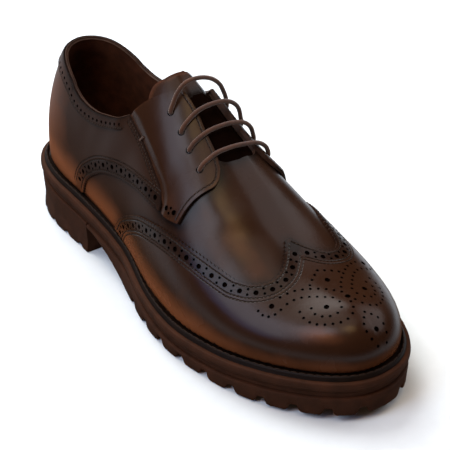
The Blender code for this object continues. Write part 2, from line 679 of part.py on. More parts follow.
quarter_halves = []
for side in (-1, 1):
    run = joined(trace(BAND_EDGE, side), trace(SEAM, side), trace(TOPLINE, side)[::-1])
    quarter_halves.append(run)
rear_turns = STATIONS[(STATIONS > 0) & (STATIONS < turn_at(QUARTER_FOOT_END, -1))]
rear_turns = np.concatenate([6 - rear_turns[::-1], [0.0], rear_turns])
quarter_foot = np.stack([rear_turns, np.full(len(rear_turns), OVERLAY_FOOT)], -1)
quarter_outline = joined(quarter_halves[0], quarter_halves[1][::-1], quarter_foot)
patch("rear_quarter", quarter_outline, OVERLAY_IN, QUARTER_OUT, leather)

collar_halves = [joined(trace(COLLAR_LOW, side)[::-1]) for side in (-1, 1)]
collar_rows = [(row[0], row[1] - COLLAR_DROP, row[2] - COLLAR_DROP) for row in TOPLINE[:-1]]
collar_tops = [trace(collar_rows, side) for side in (-1, 1)]
collar_outline = joined(collar_tops[1][::-1], collar_tops[0], collar_halves[0], collar_halves[1][::-1])
patch("collar_band", collar_outline, COLLAR_IN, COLLAR_OUT, leather)

gore_rear = trace([(row[0] + GORE_CLEARANCE, row[1], row[2]) for row in SEAM[1:]], 1)
gore_reach = GORE_WIDTH - GORE_CLEARANCE
gore_front = [(row[0] + gore_reach, row[1], row[2] - GORE_DROP) for row in SEAM[1:-1]]
gore_front.append((SEAM[-1][0] + gore_reach, 0.0, GORE_TOP))
patch("gore_medial", joined(gore_rear, trace(gore_front, 1)[::-1]), OVERLAY_IN, GORE_OUT, elastic)

# Lace
for number, row in enumerate(LACE_HOLES, 1):
    lace_bar(f"lace_bar_{number}", row, cord)
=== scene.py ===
import math

import bpy
import numpy as np
from mathutils import Matrix, Vector, kdtree
from mathutils.geometry import delaunay_2d_cdt


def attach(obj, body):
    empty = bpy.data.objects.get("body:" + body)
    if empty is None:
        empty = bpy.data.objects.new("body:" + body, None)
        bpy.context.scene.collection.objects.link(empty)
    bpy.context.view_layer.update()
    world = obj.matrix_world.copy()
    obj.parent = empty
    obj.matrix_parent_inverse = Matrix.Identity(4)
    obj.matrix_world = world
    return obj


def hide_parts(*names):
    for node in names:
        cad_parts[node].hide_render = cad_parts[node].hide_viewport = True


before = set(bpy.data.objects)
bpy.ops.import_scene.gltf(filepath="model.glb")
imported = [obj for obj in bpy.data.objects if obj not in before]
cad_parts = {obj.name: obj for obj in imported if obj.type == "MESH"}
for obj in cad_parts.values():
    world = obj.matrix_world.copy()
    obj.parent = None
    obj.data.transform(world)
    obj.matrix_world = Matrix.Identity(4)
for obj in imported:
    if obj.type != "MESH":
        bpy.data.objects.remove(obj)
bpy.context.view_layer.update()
print("frame loaded:", len(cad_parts), "solids")

# The last. Lengths are millimetres; "along" runs forward from the back of the feather line,
# "rise" is 0 at the feather line and 1 at the spine of the last.
lastForm = {
    "featherLength": 290.0,
    "heelRound": 46.0, "heelPower": 2.26,
    "toeRound": 79.0, "toePower": 2.27,
    "heelPole": 51.0, "toePole": 261.0, "poleBlend": 9.0,
    "risePower": 1.2, "bulgePower": 0.8,
    "slopeFrom": 150,  # forward of this the columns follow the slope of the spine
    "spineBlend": 0.86,  # above this rise both sides share one normal
    "spill": 0.9,  # above this rise a form of one side runs over to the other
    "girthMm": 110.0,  # mean length of a column from feather line to spine
    "unroll": 0.75,  # share of the girth kept when the upper is laid out flat
    "bandSwell": 0.6,  # the midsole's band swells past the sole's edge
}
# Small steps of turn and rise at which slopes are measured, and how points are sought on the last
probe = {"step": 0.004, "normalStep": 0.003, "margin": 0.03, "rounds": 6, "stride": 0.2, "damping": 1.0}
# Points that lines and columns are measured with
samples = {"rim": 601, "column": 19, "seedTurns": 241, "seedRises": 45, "soleRun": 400, "rib": 1201}
sectionNames = ("along", "centre", "lateral", "medial", "feather", "spine", "spineX",
                "lateralPower", "medialPower", "bulge")
sectionRows = (
    (0, 0.0, 29.5, 29.7, 37.5, 136.0, 0.0, 1.00, 1.00, 1.0),
    (35, 0.0, 29.5, 29.7, 36.1, 137.3, 0.0, 1.00, 1.00, 2.2),
    (75, -0.5, 31.8, 30.6, 33.9, 142.4, 4.5, 1.00, 1.00, 2.8),
    (115, -0.5, 36.3, 32.1, 27.9, 136.0, 7.3, 0.95, 0.90, 2.6),
    (150, 0.0, 46.1, 37.7, 22.7, 113.5, 7.4, 0.90, 0.78, 2.8),
    (185, 1.0, 51.0, 46.0, 19.9, 89.3, 5.7, 0.85, 0.70, 3.4),
    (215, 2.0, 49.1, 49.7, 21.2, 69.5, 4.2, 0.80, 0.68, 3.2),
    (245, 3.0, 44.8, 47.3, 24.6, 60.3, 3.7, 0.75, 0.71, 2.7),
    (270, 4.0, 40.3, 43.7, 27.5, 59.3, 4.0, 0.75, 0.76, 2.0),
    (290, 4.5, 37.2, 40.8, 30.5, 59.4, 5.1, 0.75, 0.77, 1.5),
)
sections = {name: np.array([row[i] for row in sectionRows], float) for i, name in enumerate(sectionNames)}
# Sole edge: along, how far it stands out past the feather line
soleEdgeRows = ((0, 6.2), (43, 6.4), (73, 5.6), (100, 4.6), (132, 4.7), (163, 6.3), (198, 6.5), (290, 6.5))

# Pattern lines: along, rise on the lateral side, rise on the medial side
topline = ((0, 0.606, 0.606), (16, 0.588, 0.580), (40, 0.538, 0.522), (59, 0.481, 0.470),
           (73, 0.475, 0.467), (84, 0.493, 0.485), (95, 0.521, 0.512), (104.5, 0.572, 0.545))
facingTop = ((104.5, 0.572, 0.545), (111, 0.665, 0.585), (117, 0.746, 0.635), (122.4, 0.832, 0.705),
             (125.3, 0.894, 0.745))
throat = ((125.3, 0.894, 0.745), (137.5, 0.905, 0.745), (149.6, 0.891, 0.732), (161.6, 0.878, 0.730),
          (167.9, 0.857, 0.700))
facingFront = ((167.9, 0.857, 0.700), (171.5, 0.820, 0.655), (172.5, 0.784, 0.610), (171.3, 0.730, 0.550),
               (169.9, 0.673, 0.485), (168.8, 0.584, 0.400), (168.7, 0.505, 0.330))
facingFoot = ((168.7, 0.505, 0.330), (160.0, 0.463, 0.303), (154.5, 0.447, 0.288))
seam = ((152.8, 0.447, 0.288), (152.2, 0.480, 0.310), (148.3, 0.517, 0.340), (137.8, 0.534, 0.380),
        (121.2, 0.547, 0.430), (104.5, 0.572, 0.545))
bandEdge = ((62.0, 0.030, 0.030), (67.9, 0.133, 0.120), (77.0, 0.202, 0.185), (86.3, 0.250, 0.225),
            (98.9, 0.290, 0.250), (118.8, 0.341, 0.270), (139.7, 0.406, 0.282), (152.8, 0.447, 0.288))
wingEdge = ((100.8, 0.030, 0.030), (109.2, 0.129, 0.085), (122.7, 0.215, 0.130), (138.2, 0.304, 0.185),
            (150.5, 0.361, 0.220), (170.6, 0.444, 0.310), (187.7, 0.501, 0.430), (202.9, 0.547, 0.545),
            (213.5, 0.584, 0.585), (221.7, 0.646, 0.640), (226.0, 0.718, 0.715), (226.2, 0.816, 0.812),
            (221.3, 0.901, 0.898), (212.4, 0.990, 0.990))
throatEnd = ((158.0, 0.860, 0.712), (163.0, 0.875, 0.740), (166.0, 0.910, 0.800), (168.0, 0.990, 0.990))
collarLow = ((0, 0.532, 0.532), (21, 0.512, 0.505), (40.4, 0.471, 0.458), (56.5, 0.422, 0.412),
             (70.3, 0.417, 0.409), (84.7, 0.440, 0.433), (97.6, 0.477, 0.466), (104.0, 0.500, 0.480))
tongueEdge = ((116.5, 0.990, 0.990), (113.8, 0.860, 0.780), (109.4, 0.740, 0.660), (111.0, 0.675, 0.600),
              (130.0, 0.680, 0.590), (150.0, 0.740, 0.610), (170.0, 0.790, 0.650), (180.0, 0.850, 0.760),
              (183.0, 0.990, 0.990))
laceHoles = ((129.6, 0.764, 0.615), (140.8, 0.765, 0.600), (150.4, 0.757, 0.585), (161.4, 0.755, 0.580))


def smooth(low, high, x):
    t = np.clip((np.asarray(x, float) - low) / (high - low), 0, 1)
    return t * t * (3 - 2 * t)


def hermite(knots, values, at, slope=False):
    at = np.clip(np.asarray(at, float), knots[0], knots[-1])
    step = np.diff(knots)
    chord = np.diff(values) / step
    tangent = np.empty_like(values)
    tangent[0] = chord[0]
    tangent[-1] = chord[-1]
    tangent[1:-1] = (chord[:-1] * step[1:] + chord[1:] * step[:-1]) / (step[1:] + step[:-1])
    i = np.clip(np.searchsorted(knots, at, side="right") - 1, 0, len(knots) - 2)
    width = step[i]
    t = (at - knots[i]) / width
    if slope:
        run = (6 * t * t - 6 * t) * (values[i] - values[i + 1]) / width
        return run + (1 - 4 * t + 3 * t * t) * tangent[i] + (3 * t * t - 2 * t) * tangent[i + 1]
    ends = (1 + 2 * t) * (1 - t) ** 2 * values[i] + t * t * (3 - 2 * t) * values[i + 1]
    return ends + width * (t * (1 - t) ** 2 * tangent[i] + t * t * (t - 1) * tangent[i + 1])


def section(name, along, slope=False):
    return hermite(sections["along"], sections[name], along, slope)


def soleEdge(along):
    rows = np.array(soleEdgeRows, float)
    return hermite(rows[:, 0], rows[:, 1], along)


def place(turn):  # turn 0 is the back of the heel, 3 the toe by the lateral side, 6 the back again
    turn = np.mod(np.asarray(turn, float), 6.0)
    half = np.where(turn <= 3, turn, 6 - turn)
    side = np.where(turn <= 3, -1.0, 1.0)
    middle = lastForm["featherLength"] - lastForm["toeRound"] - lastForm["heelRound"]
    along = lastForm["heelRound"] * (1 - np.cos(np.clip(half, 0, 1) * math.pi / 2))
    along = along + middle * np.clip(half - 1, 0, 1)
    return along + lastForm["toeRound"] * np.sin(np.clip(half - 2, 0, 1) * math.pi / 2), side


def turnAt(along, side):
    along = np.asarray(along, float)
    heelRound = lastForm["heelRound"]
    start = lastForm["featherLength"] - lastForm["toeRound"]
    heel = np.arccos(np.clip(1 - along / heelRound, -1, 1)) / (math.pi / 2)
    middle = 1 + (along - heelRound) / (start - heelRound)
    toe = 2 + np.arcsin(np.clip((along - start) / lastForm["toeRound"], 0, 1)) / (math.pi / 2)
    half = np.where(along < heelRound, heel, np.where(along < start, middle, toe))
    return half if side < 0 else 6 - half


def feather(turn):
    along, side = place(turn)
    back = np.clip((lastForm["heelRound"] - along) / lastForm["heelRound"], 0, 1)
    front = np.clip((along - lastForm["featherLength"]) / lastForm["toeRound"] + 1, 0, 1)
    heelPower = lastForm["heelPower"]
    toePower = lastForm["toePower"]
    ends = (1 - back ** heelPower) ** (1 / heelPower) * (1 - front ** toePower) ** (1 / toePower)
    half = np.where(side < 0, section("lateral", along), section("medial", along))
    return section("centre", along) + side * half * ends, along


def featherNormal(turn):
    ahead = feather(np.asarray(turn) + probe["step"])
    behind = feather(np.asarray(turn) - probe["step"])
    dx = ahead[0] - behind[0]
    dy = ahead[1] - behind[1]
    size = np.hypot(dx, dy)
    return -dy / size, dx / size


def spineAlong(along):
    blend = lastForm["poleBlend"]
    front = -blend * np.logaddexp(-along / blend, -lastForm["toePole"] / blend)
    return blend * np.logaddexp(front / blend, lastForm["heelPole"] / blend)


def last(turn, rise):
    turn, rise = np.broadcast_arrays(np.asarray(turn, float), np.asarray(rise, float))
    along, side = place(turn)
    fx, fy = feather(turn)
    nx, ny = featherNormal(turn)
    fz = section("feather", along)
    sy = spineAlong(along)
    sx = section("spineX", sy)
    sz = section("spine", sy)
    power = np.where(side < 0, section("lateralPower", along), section("medialPower", along))
    angle = math.pi / 2 * np.clip(rise, 0, 1) ** lastForm["risePower"]
    across = 1 - np.cos(angle)
    up = np.sin(angle) ** power
    slope = np.where(along > lastForm["slopeFrom"], section("spine", sy, True) * (sy - along), 0)
    swell = section("bulge", along) * np.sin(math.pi * up ** lastForm["bulgePower"])
    x = fx + (sx - fx) * across + nx * swell
    y = fy + (sy - fy) * across + ny * swell
    return np.stack([x, -y, fz + (sz - fz - slope) * up + slope * across], -1)


# Soft troughs and ridges that wear and lasting leave: along, side, rise, angle, length, width, depth
softForms = (
    (186, -1, 0.93, 80, 26, 7, -0.45),
    (203, -1, 0.90, 82, 30, 8, -0.35),
    (195, -1, 0.74, 70, 22, 6, -0.30),
    (196, 1, 0.80, 75, 26, 7, -0.35),
    (178, -1, 0.62, 35, 26, 6, -0.35),
    (120, -1, 0.36, -18, 40, 9, -0.40),
    (62, -1, 0.30, 20, 34, 12, -0.45),
    (80, 1, 0.32, 10, 34, 12, -0.45),
    (84, -1, 0.40, 62, 22, 7, -0.35),
    (70, -1, 0.42, 72, 20, 6, -0.25),
    (98, -1, 0.42, 55, 24, 8, 0.30),
    (112, -1, 0.44, 50, 20, 6, -0.30),
    (158, -1, 0.93, 0, 24, 16, -1.1),
    (158, 1, 0.84, 0, 24, 16, -1.1),
)


def spilled(shape, side, formSide, rise):  # a form of one side fades out just over the spine
    return np.where(side == formSide, shape, shape * smooth(lastForm["spill"], 1.0, rise))


def softRelief(turn, rise):
    along, side = place(turn)
    found = np.zeros(np.shape(along))
    for at, formSide, height, angle, length, width, depth in softForms:
        lean = math.radians(angle)
        da = along - at
        dg = (rise - height) * lastForm["girthMm"]
        run = da * math.cos(lean) + dg * math.sin(lean)
        off = -da * math.sin(lean) + dg * math.cos(lean)
        shape = depth * np.exp(-(run / length) ** 2 - (off / width) ** 2)
        found = found + spilled(shape, side, formSide, rise)
    return found


def outward(turn, rise):
    step = probe["normalStep"]
    at = np.clip(rise, probe["margin"], 1 - probe["margin"])
    around = last(turn + step, at) - last(turn - step, at)
    upward = last(turn, at + step) - last(turn, at - step)
    out = np.cross(around, upward)
    return out / np.linalg.norm(out, axis=-1)[..., None]


def surfaceNormal(turn, rise):
    turn, rise = np.broadcast_arrays(np.asarray(turn, float), np.asarray(rise, float))
    share = 0.5 * smooth(lastForm["spineBlend"], 1.0, rise)[..., None]
    out = outward(turn, rise) * (1 - share) + outward(6 - turn, rise) * share
    return out / np.linalg.norm(out, axis=-1)[..., None]


def skin(turn, rise, lift):
    turn, rise = np.broadcast_arrays(np.asarray(turn, float), np.asarray(rise, float))
    depth = np.broadcast_to(lift, turn.shape) + softRelief(turn, rise)
    return last(turn, rise) + surfaceNormal(turn, rise) * depth[..., None]


def outlineAt(turn, offset):
    fx, fy = feather(turn)
    nx, ny = featherNormal(turn)
    return fx + nx * offset, -(fy + ny * offset)


rimTurns = np.linspace(0, 6, samples["rim"])
rimX, rimY = outlineAt(rimTurns, soleEdge(place(rimTurns)[0]) + lastForm["bandSwell"])
shift = np.array([-(rimX.max() + rimX.min()) / 2, -(rimY.max() + rimY.min()) / 2, 0.0])


def toWorld(points):
    return (np.asarray(points, float) + shift) * 0.001  # millimetres to metres


def flatPlan(points):  # the upper unrolled from its spine, each column laid out straight
    turn = points[:, 0]
    fx, fy = feather(turn)
    sy = spineAlong(fy)
    sx = section("spineX", sy)
    column = last(turn[:, None], np.linspace(0, 1, samples["column"])[None])
    girth = np.linalg.norm(np.diff(column, axis=1), axis=2).sum(1)
    reach = lastForm["unroll"] * girth * (1 - points[:, 1]) / np.hypot(fx - sx, fy - sy)
    return np.stack([sx + (fx - sx) * reach, sy + (fy - sy) * reach], -1)


seedTurns, seedRises = np.meshgrid(np.linspace(0, 6, samples["seedTurns"])[:-1],
                                   np.linspace(0, 1, samples["seedRises"]))
seeds = np.stack([seedTurns.ravel(), seedRises.ravel()], -1)
seedPoints = last(seeds[:, 0], seeds[:, 1])


def treeOf(points):
    tree = kdtree.KDTree(len(points))
    for i, point in enumerate(points):
        tree.insert(point if len(point) == 3 else (*point, 0.0), i)
    tree.balance()
    return tree


def treeAlong(*lines):  # for distances from lines of turn and rise
    return treeOf(np.concatenate([last(line[:, 0], line[:, 1]) for line in lines]))


def distanceTo(tree, points):  # mm from each point of turn and rise to the nearest one in a tree
    return np.array([tree.find(p)[2] for p in last(points[:, 0], points[:, 1])])


seedTree = treeOf(seedPoints)
planView = {"wallRise": 0.4, "outOfReach": 400.0}  # looking straight down, the low walls don't count
planPoints = seedPoints * (1.0, 1.0, 0.0)
planPoints[seeds[:, 1] <= planView["wallRise"], 2] = planView["outOfReach"]
seedPlanTree = treeOf(planPoints)


def locate(points, plan=False):  # turn and rise of the nearest surface points, or of those straight below
    points = np.asarray(points, float).reshape(-1, 3)
    if plan:
        found = np.array([seeds[seedPlanTree.find((p[0], p[1], 0.0))[1]] for p in points])
    else:
        found = np.array([seeds[seedTree.find(p)[1]] for p in points])
    turn = found[:, 0].copy()
    rise = found[:, 1].copy()
    weight = np.array([1.0, 1.0, 0.0 if plan else 1.0])
    step = probe["step"]
    stride = probe["stride"]
    for _ in range(probe["rounds"]):
        at = np.clip(rise, step, 1 - step)
        gap = (points - last(turn, rise)) * weight
        du = (last(turn + step, rise) - last(turn - step, rise)) / (2 * step) * weight
        dv = (last(turn, at + step) - last(turn, at - step)) / (2 * step) * weight
        a = (du * du).sum(1) + probe["damping"]
        b = (du * dv).sum(1)
        c = (dv * dv).sum(1) + probe["damping"]
        p = (gap * du).sum(1)
        q = (gap * dv).sum(1)
        size = a * c - b * b + 1e-9
        turn = turn + np.clip((c * p - b * q) / size, -stride, stride)
        rise = np.clip(rise + np.clip((a * q - b * p) / size, -stride, stride), 0, 1)
    return np.stack([turn, rise], -1)


def chordRun(line):
    steps = np.linalg.norm(np.diff(last(line[:, 0], line[:, 1]), axis=0), axis=1)
    return np.concatenate([[0], np.cumsum(steps)])


def trace(rows, side, step=1.0):  # turn and rise along a pattern line, as a smooth curve through its rows
    rows = np.array(rows, float)
    turn = turnAt(rows[:, 0], side)
    rise = rows[:, 1 if side < 0 else 2].copy()
    chords = np.linalg.norm(np.diff(last(turn, rise), axis=0), axis=1)
    knots = np.concatenate([[0], np.cumsum(chords)])
    at = np.linspace(0, knots[-1], max(2, int(round(knots[-1] / step)) + 1))
    return np.stack([hermite(knots, turn, at), np.clip(hermite(knots, rise, at), 0, 1)], -1)


def stepped(line, step, first=0.0, final=0.0):  # points at equal steps along a line
    run = chordRun(line)
    count = max(2, int(round((run[-1] - first - final) / step)) + 1)
    at = np.linspace(first, run[-1] - final, count)
    return np.stack([np.interp(at, run, line[:, 0]), np.interp(at, run, line[:, 1])], -1)


def beside(line, offset):  # the line moved over the surface, to its left as seen from outside
    points = last(line[:, 0], line[:, 1])
    run = np.gradient(points, axis=0)
    run /= np.maximum(np.linalg.norm(run, axis=1), 1e-9)[:, None]
    left = np.cross(surfaceNormal(line[:, 0], line[:, 1]), run)
    left /= np.linalg.norm(left, axis=1)[:, None]
    return locate(points + left * np.broadcast_to(offset, len(line))[:, None])


def keptToSide(line, side):  # the part of a line that stays on one side of the spine
    return line[place(line[:, 0])[1] == side]


toothShape = np.array([0.0, 0.62, 1.0, 0.62])  # one tooth of a gimped edge, in shares of its depth


def pinked(line, pitch, depth, toLeft):  # saw-tooth edge of a gimped overlay
    teeth = max(1, int(round(chordRun(line)[-1] / pitch)))
    base = stepped(line, chordRun(line)[-1] / (teeth * len(toothShape)))
    wave = toothShape[np.arange(len(base)) % len(toothShape)] * depth
    wave[0] = 0
    wave[-1] = 0
    return beside(base, wave * (1 if toLeft else -1))


def joined(*lines):  # lines run together, without the points that fall on each other
    closest = 0.12
    points = np.concatenate(lines)
    plan = flatPlan(points)
    keep = [0]
    for i in range(1, len(points)):
        if np.hypot(*(plan[i] - plan[keep[-1]])) > closest:
            keep.append(i)
    if np.hypot(*(plan[keep[-1]] - plan[keep[0]])) < closest:
        keep.pop()
    return points[keep]


def insideLoop(loop, points):  # which points of the flat plan a closed outline holds
    found = np.zeros(len(points), bool)
    ax, ay = loop[:, 0][None], loop[:, 1][None]
    bx, by = np.roll(loop[:, 0], -1)[None], np.roll(loop[:, 1], -1)[None]
    batchSize = 3000
    for start in range(0, len(points), batchSize):
        batch = slice(start, start + batchSize)
        x = points[batch, 0][:, None]
        y = points[batch, 1][:, None]
        crosses = (ay > y) != (by > y)
        run = np.where(crosses, by - ay, 1)
        found[batch] = (crosses & (x < ax + (y - ay) * (bx - ax) / run)).sum(1) % 2 == 1
    return found


ringSides = ((1.5, 14), (0.9, 11), (0.0, 8))  # a hole over this radius has so many sides


def ringsAt(holes, widen=0.0):  # rings of turn and rise round punched holes of turn, rise, radius
    holes = np.asarray(holes, float)
    centre = last(holes[:, 0], holes[:, 1])
    out = surfaceNormal(holes[:, 0], holes[:, 1])
    upHint = np.array([0.0, 0.3, 1.0])
    east = np.cross(out, upHint)
    east /= np.linalg.norm(east, axis=1)[:, None]
    north = np.cross(out, east)
    points = []
    sizes = []
    for i, hole in enumerate(holes):
        count = next(sides for least, sides in ringSides if hole[2] > least)
        angle = np.arange(count) * 2 * math.pi / count
        spokes = np.cos(angle)[:, None] * east[i] + np.sin(angle)[:, None] * north[i]
        points.append(centre[i] + (hole[2] + widen) * spokes)
        sizes.append(count)
    flat = locate(np.concatenate(points))
    return np.split(flat, np.cumsum(sizes)[:-1])


# Even points over the last that every leather piece is meshed on; lengths in mm
gridLook = {"spacing": 2.2, "heelRun": 70, "middleRun": 165, "toeRun": 95, "column": 118, "crowding": 0.62}


def shellGrid(spacing):
    heelRun = np.linspace(0, 1, int(gridLook["heelRun"] / spacing))
    middleRun = np.linspace(1, 2, int(gridLook["middleRun"] / spacing))[1:]
    toeRun = np.linspace(2, 3, int(gridLook["toeRun"] / spacing))[1:]
    half = np.concatenate([heelRun, middleRun, toeRun])
    turns = np.concatenate([half, 6 - half[1:-1]])
    rows = np.linspace(0, 1, int(gridLook["column"] / spacing))
    points = []
    for k, rise in enumerate(rows[1:]):
        sway = 0.5 * (k % 2) * np.diff(half).mean()
        use = half if rise == 1 else turns
        points.append(np.stack([np.mod(use + (sway if rise < 1 else 0), 6), np.full(len(use), rise)], -1))
    points = np.concatenate(points)
    solid = last(points[:, 0], points[:, 1])
    cells = {}
    keep = []
    gap = spacing * gridLook["crowding"]
    for i, p in enumerate(solid):  # thins the columns that crowd round the toe's pole
        key = tuple((p // gap).astype(int))
        near = [j for step in np.ndindex(3, 3, 3)
                for j in cells.get(tuple(k + s - 1 for k, s in zip(key, step)), ())]
        if all(((solid[j] - p) ** 2).sum() >= gap * gap for j in near):
            cells.setdefault(key, []).append(i)
            keep.append(i)
    return points[keep]


sharedGrid = shellGrid(gridLook["spacing"])
print("surface ready:", len(sharedGrid), "grid points")


# Materials
def linearColour(code):  # sRGB hex to the linear values that shaders take
    parts = [int(code[i:i + 2], 16) / 255 for i in (1, 3, 5)]
    return (*[c / 12.92 if c <= 0.04045 else ((c + 0.055) / 1.055) ** 2.4 for c in parts], 1.0)


def addNode(tree, kind, settings=None, links=None):
    node = tree.nodes.new(kind)
    for name, value in (settings or {}).items():
        if isinstance(name, int) or name in node.inputs:
            node.inputs[name].default_value = value
        else:
            setattr(node, name, value)
    for name, source in (links or {}).items():
        tree.links.new(source, node.inputs[name])
    return node


def newMaterial(name, sockets):
    made = bpy.data.materials.new(name)
    made.use_nodes = True
    shader = made.node_tree.nodes["Principled BSDF"]
    for socket, value in sockets.items():
        shader.inputs[socket].default_value = value
    return made, made.node_tree, shader


def ramp(node, stops):
    points = node.color_ramp.elements
    while len(points) < len(stops):
        points.new(0.5)
    for point, (position, colour) in zip(points, stops):
        point.position = position
        point.color = linearColour(colour)
    return node


# Aniline calf, plated smooth and burnished by hand: deep satin brown that warms to chestnut towards
# the welt and heel and in painted highlights, darkens in painted shade, and has a tight grain that only the
# highlights show.
calfFinish = {
    "deep": "#190C07",
    "body": "#221209",
    # the warm light end, which the painted highlights on toe, vamp and cut edges run towards
    "chestnut": "#653920",
    # painted shade: the dark that the dusk attribute mixes in
    "dusk": "#080403",
    "bodyAt": 0.35,  # share of the tone at which the body colour stands
    "grainMm": 0.55, "grainDepthMm": 0.12,  # real grain is near 0.2 mm; drawn coarser so that it shows
    "pebbleMm": 5.0, "pebbleDepthMm": 0.4,
    "bump": 0.10,
    "patinaMm": 26.0, "patina": 0.34,  # cloudy shift of the tone, half of it up and half down
    "glossSpread": (-0.05, 0.06),  # roughness where the patina is thin, and where it is thick
}


def burnishedCalf(name, roughness, level):
    made, tree, shader = newMaterial(name, {"Roughness": roughness, "IOR": 1.2, "Specular IOR Level": level})
    where = addNode(tree, "ShaderNodeTexCoord")
    # first attribute: the leather's tone with painted highlights added; second attribute: painted shade
    toneAndHighlight = addNode(tree, "ShaderNodeAttribute", {"attribute_name": "toneAndHighlight"})
    dusk = addNode(tree, "ShaderNodeAttribute", {"attribute_name": "dusk"})
    patina = addNode(tree, "ShaderNodeTexNoise", {"Scale": 1000 / calfFinish["patinaMm"], "Detail": 3.0,
                                                  "Roughness": 0.55}, {"Vector": where.outputs["Object"]})
    cloud = calfFinish["patina"]
    uneven = addNode(tree, "ShaderNodeMath", {"operation": "MULTIPLY_ADD", 1: cloud, 2: -cloud / 2},
                     {0: patina.outputs["Fac"]})
    amount = addNode(tree, "ShaderNodeMath", {"operation": "ADD", "use_clamp": True},
                     {0: toneAndHighlight.outputs["Fac"], 1: uneven.outputs["Value"]})
    tone = addNode(tree, "ShaderNodeValToRGB", {}, {"Fac": amount.outputs["Value"]})
    ramp(tone, ((0.0, calfFinish["deep"]), (calfFinish["bodyAt"], calfFinish["body"]),
                (1.0, calfFinish["chestnut"])))
    shaded = addNode(tree, "ShaderNodeMix", {"data_type": "RGBA", 7: linearColour(calfFinish["dusk"])},
                     {0: dusk.outputs["Fac"], 6: tone.outputs["Color"]})
    tree.links.new(shaded.outputs[2], shader.inputs["Base Color"])
    grain = addNode(tree, "ShaderNodeTexVoronoi", {"Scale": 1000 / calfFinish["grainMm"]},
                    {"Vector": where.outputs["Object"]})
    pebble = addNode(tree, "ShaderNodeTexNoise", {"Scale": 1000 / calfFinish["pebbleMm"], "Detail": 4.0},
                     {"Vector": where.outputs["Object"]})
    low = addNode(tree, "ShaderNodeBump",
                  {"Strength": calfFinish["bump"], "Distance": calfFinish["pebbleDepthMm"] / 1000},
                  {"Height": pebble.outputs["Fac"]})
    fine = addNode(tree, "ShaderNodeBump",
                   {"Strength": calfFinish["bump"], "Distance": calfFinish["grainDepthMm"] / 1000},
                   {"Height": grain.outputs["Distance"], "Normal": low.outputs["Normal"]})
    tree.links.new(fine.outputs["Normal"], shader.inputs["Normal"])
    thin, thick = calfFinish["glossSpread"]
    gloss = addNode(tree, "ShaderNodeMapRange", {1: 0.3, 2: 0.7, 3: roughness + thin, 4: roughness + thick},
                    {0: patina.outputs["Fac"]})
    tree.links.new(gloss.outputs["Result"], shader.inputs["Roughness"])
    return made


plainFinish = {"ior": 1.2, "level": 0.3, "mottleGrains": 9, "bump": 0.5}  # width of the mottle in grains


def plainSkin(name, low, high, roughness, grainMm, depthMm, extra=None):
    made, tree, shader = newMaterial(name, {"Roughness": roughness, "IOR": plainFinish["ior"],
                                            "Specular IOR Level": plainFinish["level"], **(extra or {})})
    where = addNode(tree, "ShaderNodeTexCoord")
    mottleMm = grainMm * plainFinish["mottleGrains"]
    mottle = addNode(tree, "ShaderNodeTexNoise", {"Scale": 1000 / mottleMm, "Detail": 5.0},
                     {"Vector": where.outputs["Object"]})
    tone = addNode(tree, "ShaderNodeValToRGB", {}, {"Fac": mottle.outputs["Fac"]})
    ramp(tone, ((0.3, low), (0.7, high)))
    tree.links.new(tone.outputs["Color"], shader.inputs["Base Color"])
    grain = addNode(tree, "ShaderNodeTexNoise", {"Scale": 1000 / grainMm, "Detail": 3.0},
                    {"Vector": where.outputs["Object"]})
    bump = addNode(tree, "ShaderNodeBump", {"Strength": plainFinish["bump"], "Distance": depthMm * 0.001},
                   {"Height": grain.outputs["Fac"]})
    tree.links.new(bump.outputs["Normal"], shader.inputs["Normal"])
    return made


# Calf: name, roughness, specular level. The rest: name, two tones, roughness, grain and its depth in mm.
finishes = {
    "calf": burnishedCalf("anilineCalfBurnished", 0.25, 0.55),
    # The same hide left softer at the heel, where the wax was brushed and not rubbed
    "heelCalf": burnishedCalf("anilineCalfBrushed", 0.36, 0.28),
    # Vegetable-tanned lining, dyed dark and left matt: swallows the light inside
    "lining": plainSkin("vegetableTannedLiningMatt", "#2A150B", "#3C2012", 0.7, 0.8, 0.08),
    # Painted shade: matt and nearly black under the overlays, on the hole walls and on the covered tongue, so
    # that punched holes read as deep
    "shadeUnderlay": plainSkin("paintedShadeMatt", "#070302", "#0C0503", 0.95, 0.8, 0.05,
                          {"Specular IOR Level": 0.0}),
    # Cut leather edge, dyed and waxed: a drier line beside the grain side, with no gloss to speak of
    "cutEdge": plainSkin("cutLeatherEdgeWaxed", "#1E120C", "#2E1E16", 0.55, 0.5, 0.06),
    # Moulded rubber: even brown with a soft broad sheen and a faint pebble from the mould
    "rubber": plainSkin("mouldedRubberBrown", "#27150B", "#321B0F", 0.66, 0.9, 0.05),
    # Welt leather, dyed dark and pressed, drawn nearly black so that it also stands for the shade in its
    # channel: a dark line round the shoe with a soft sheen
    "welt": plainSkin("pressedWeltDyed", "#0A0503", "#120905", 0.5, 0.7, 0.05),
    # Waxed cotton braid: dry, slightly furry and redder than the leather
    "lace": plainSkin("waxedCottonBraid", "#2B170D", "#3C2213", 0.66, 0.45, 0.10, {"Sheen Weight": 0.25}),
    # Bonded polyester thread: dark strands that catch a little light
    "thread": plainSkin("bondedPolyesterThread", "#18110C", "#281E17", 0.5, 0.4, 0.05),
    # Linen thread of the welt, waxed: dark, only just paler than the rib it is sewn through
    "weltThread": plainSkin("waxedLinenThread", "#160E0A", "#261A13", 0.5, 0.4, 0.05),
    # Ribbed elastic, woven: a dull dark web
    "elastic": plainSkin("wovenRibElastic", "#150D0A", "#22150F", 0.8, 0.5, 0.10),
}
print("materials ready:", len(finishes))


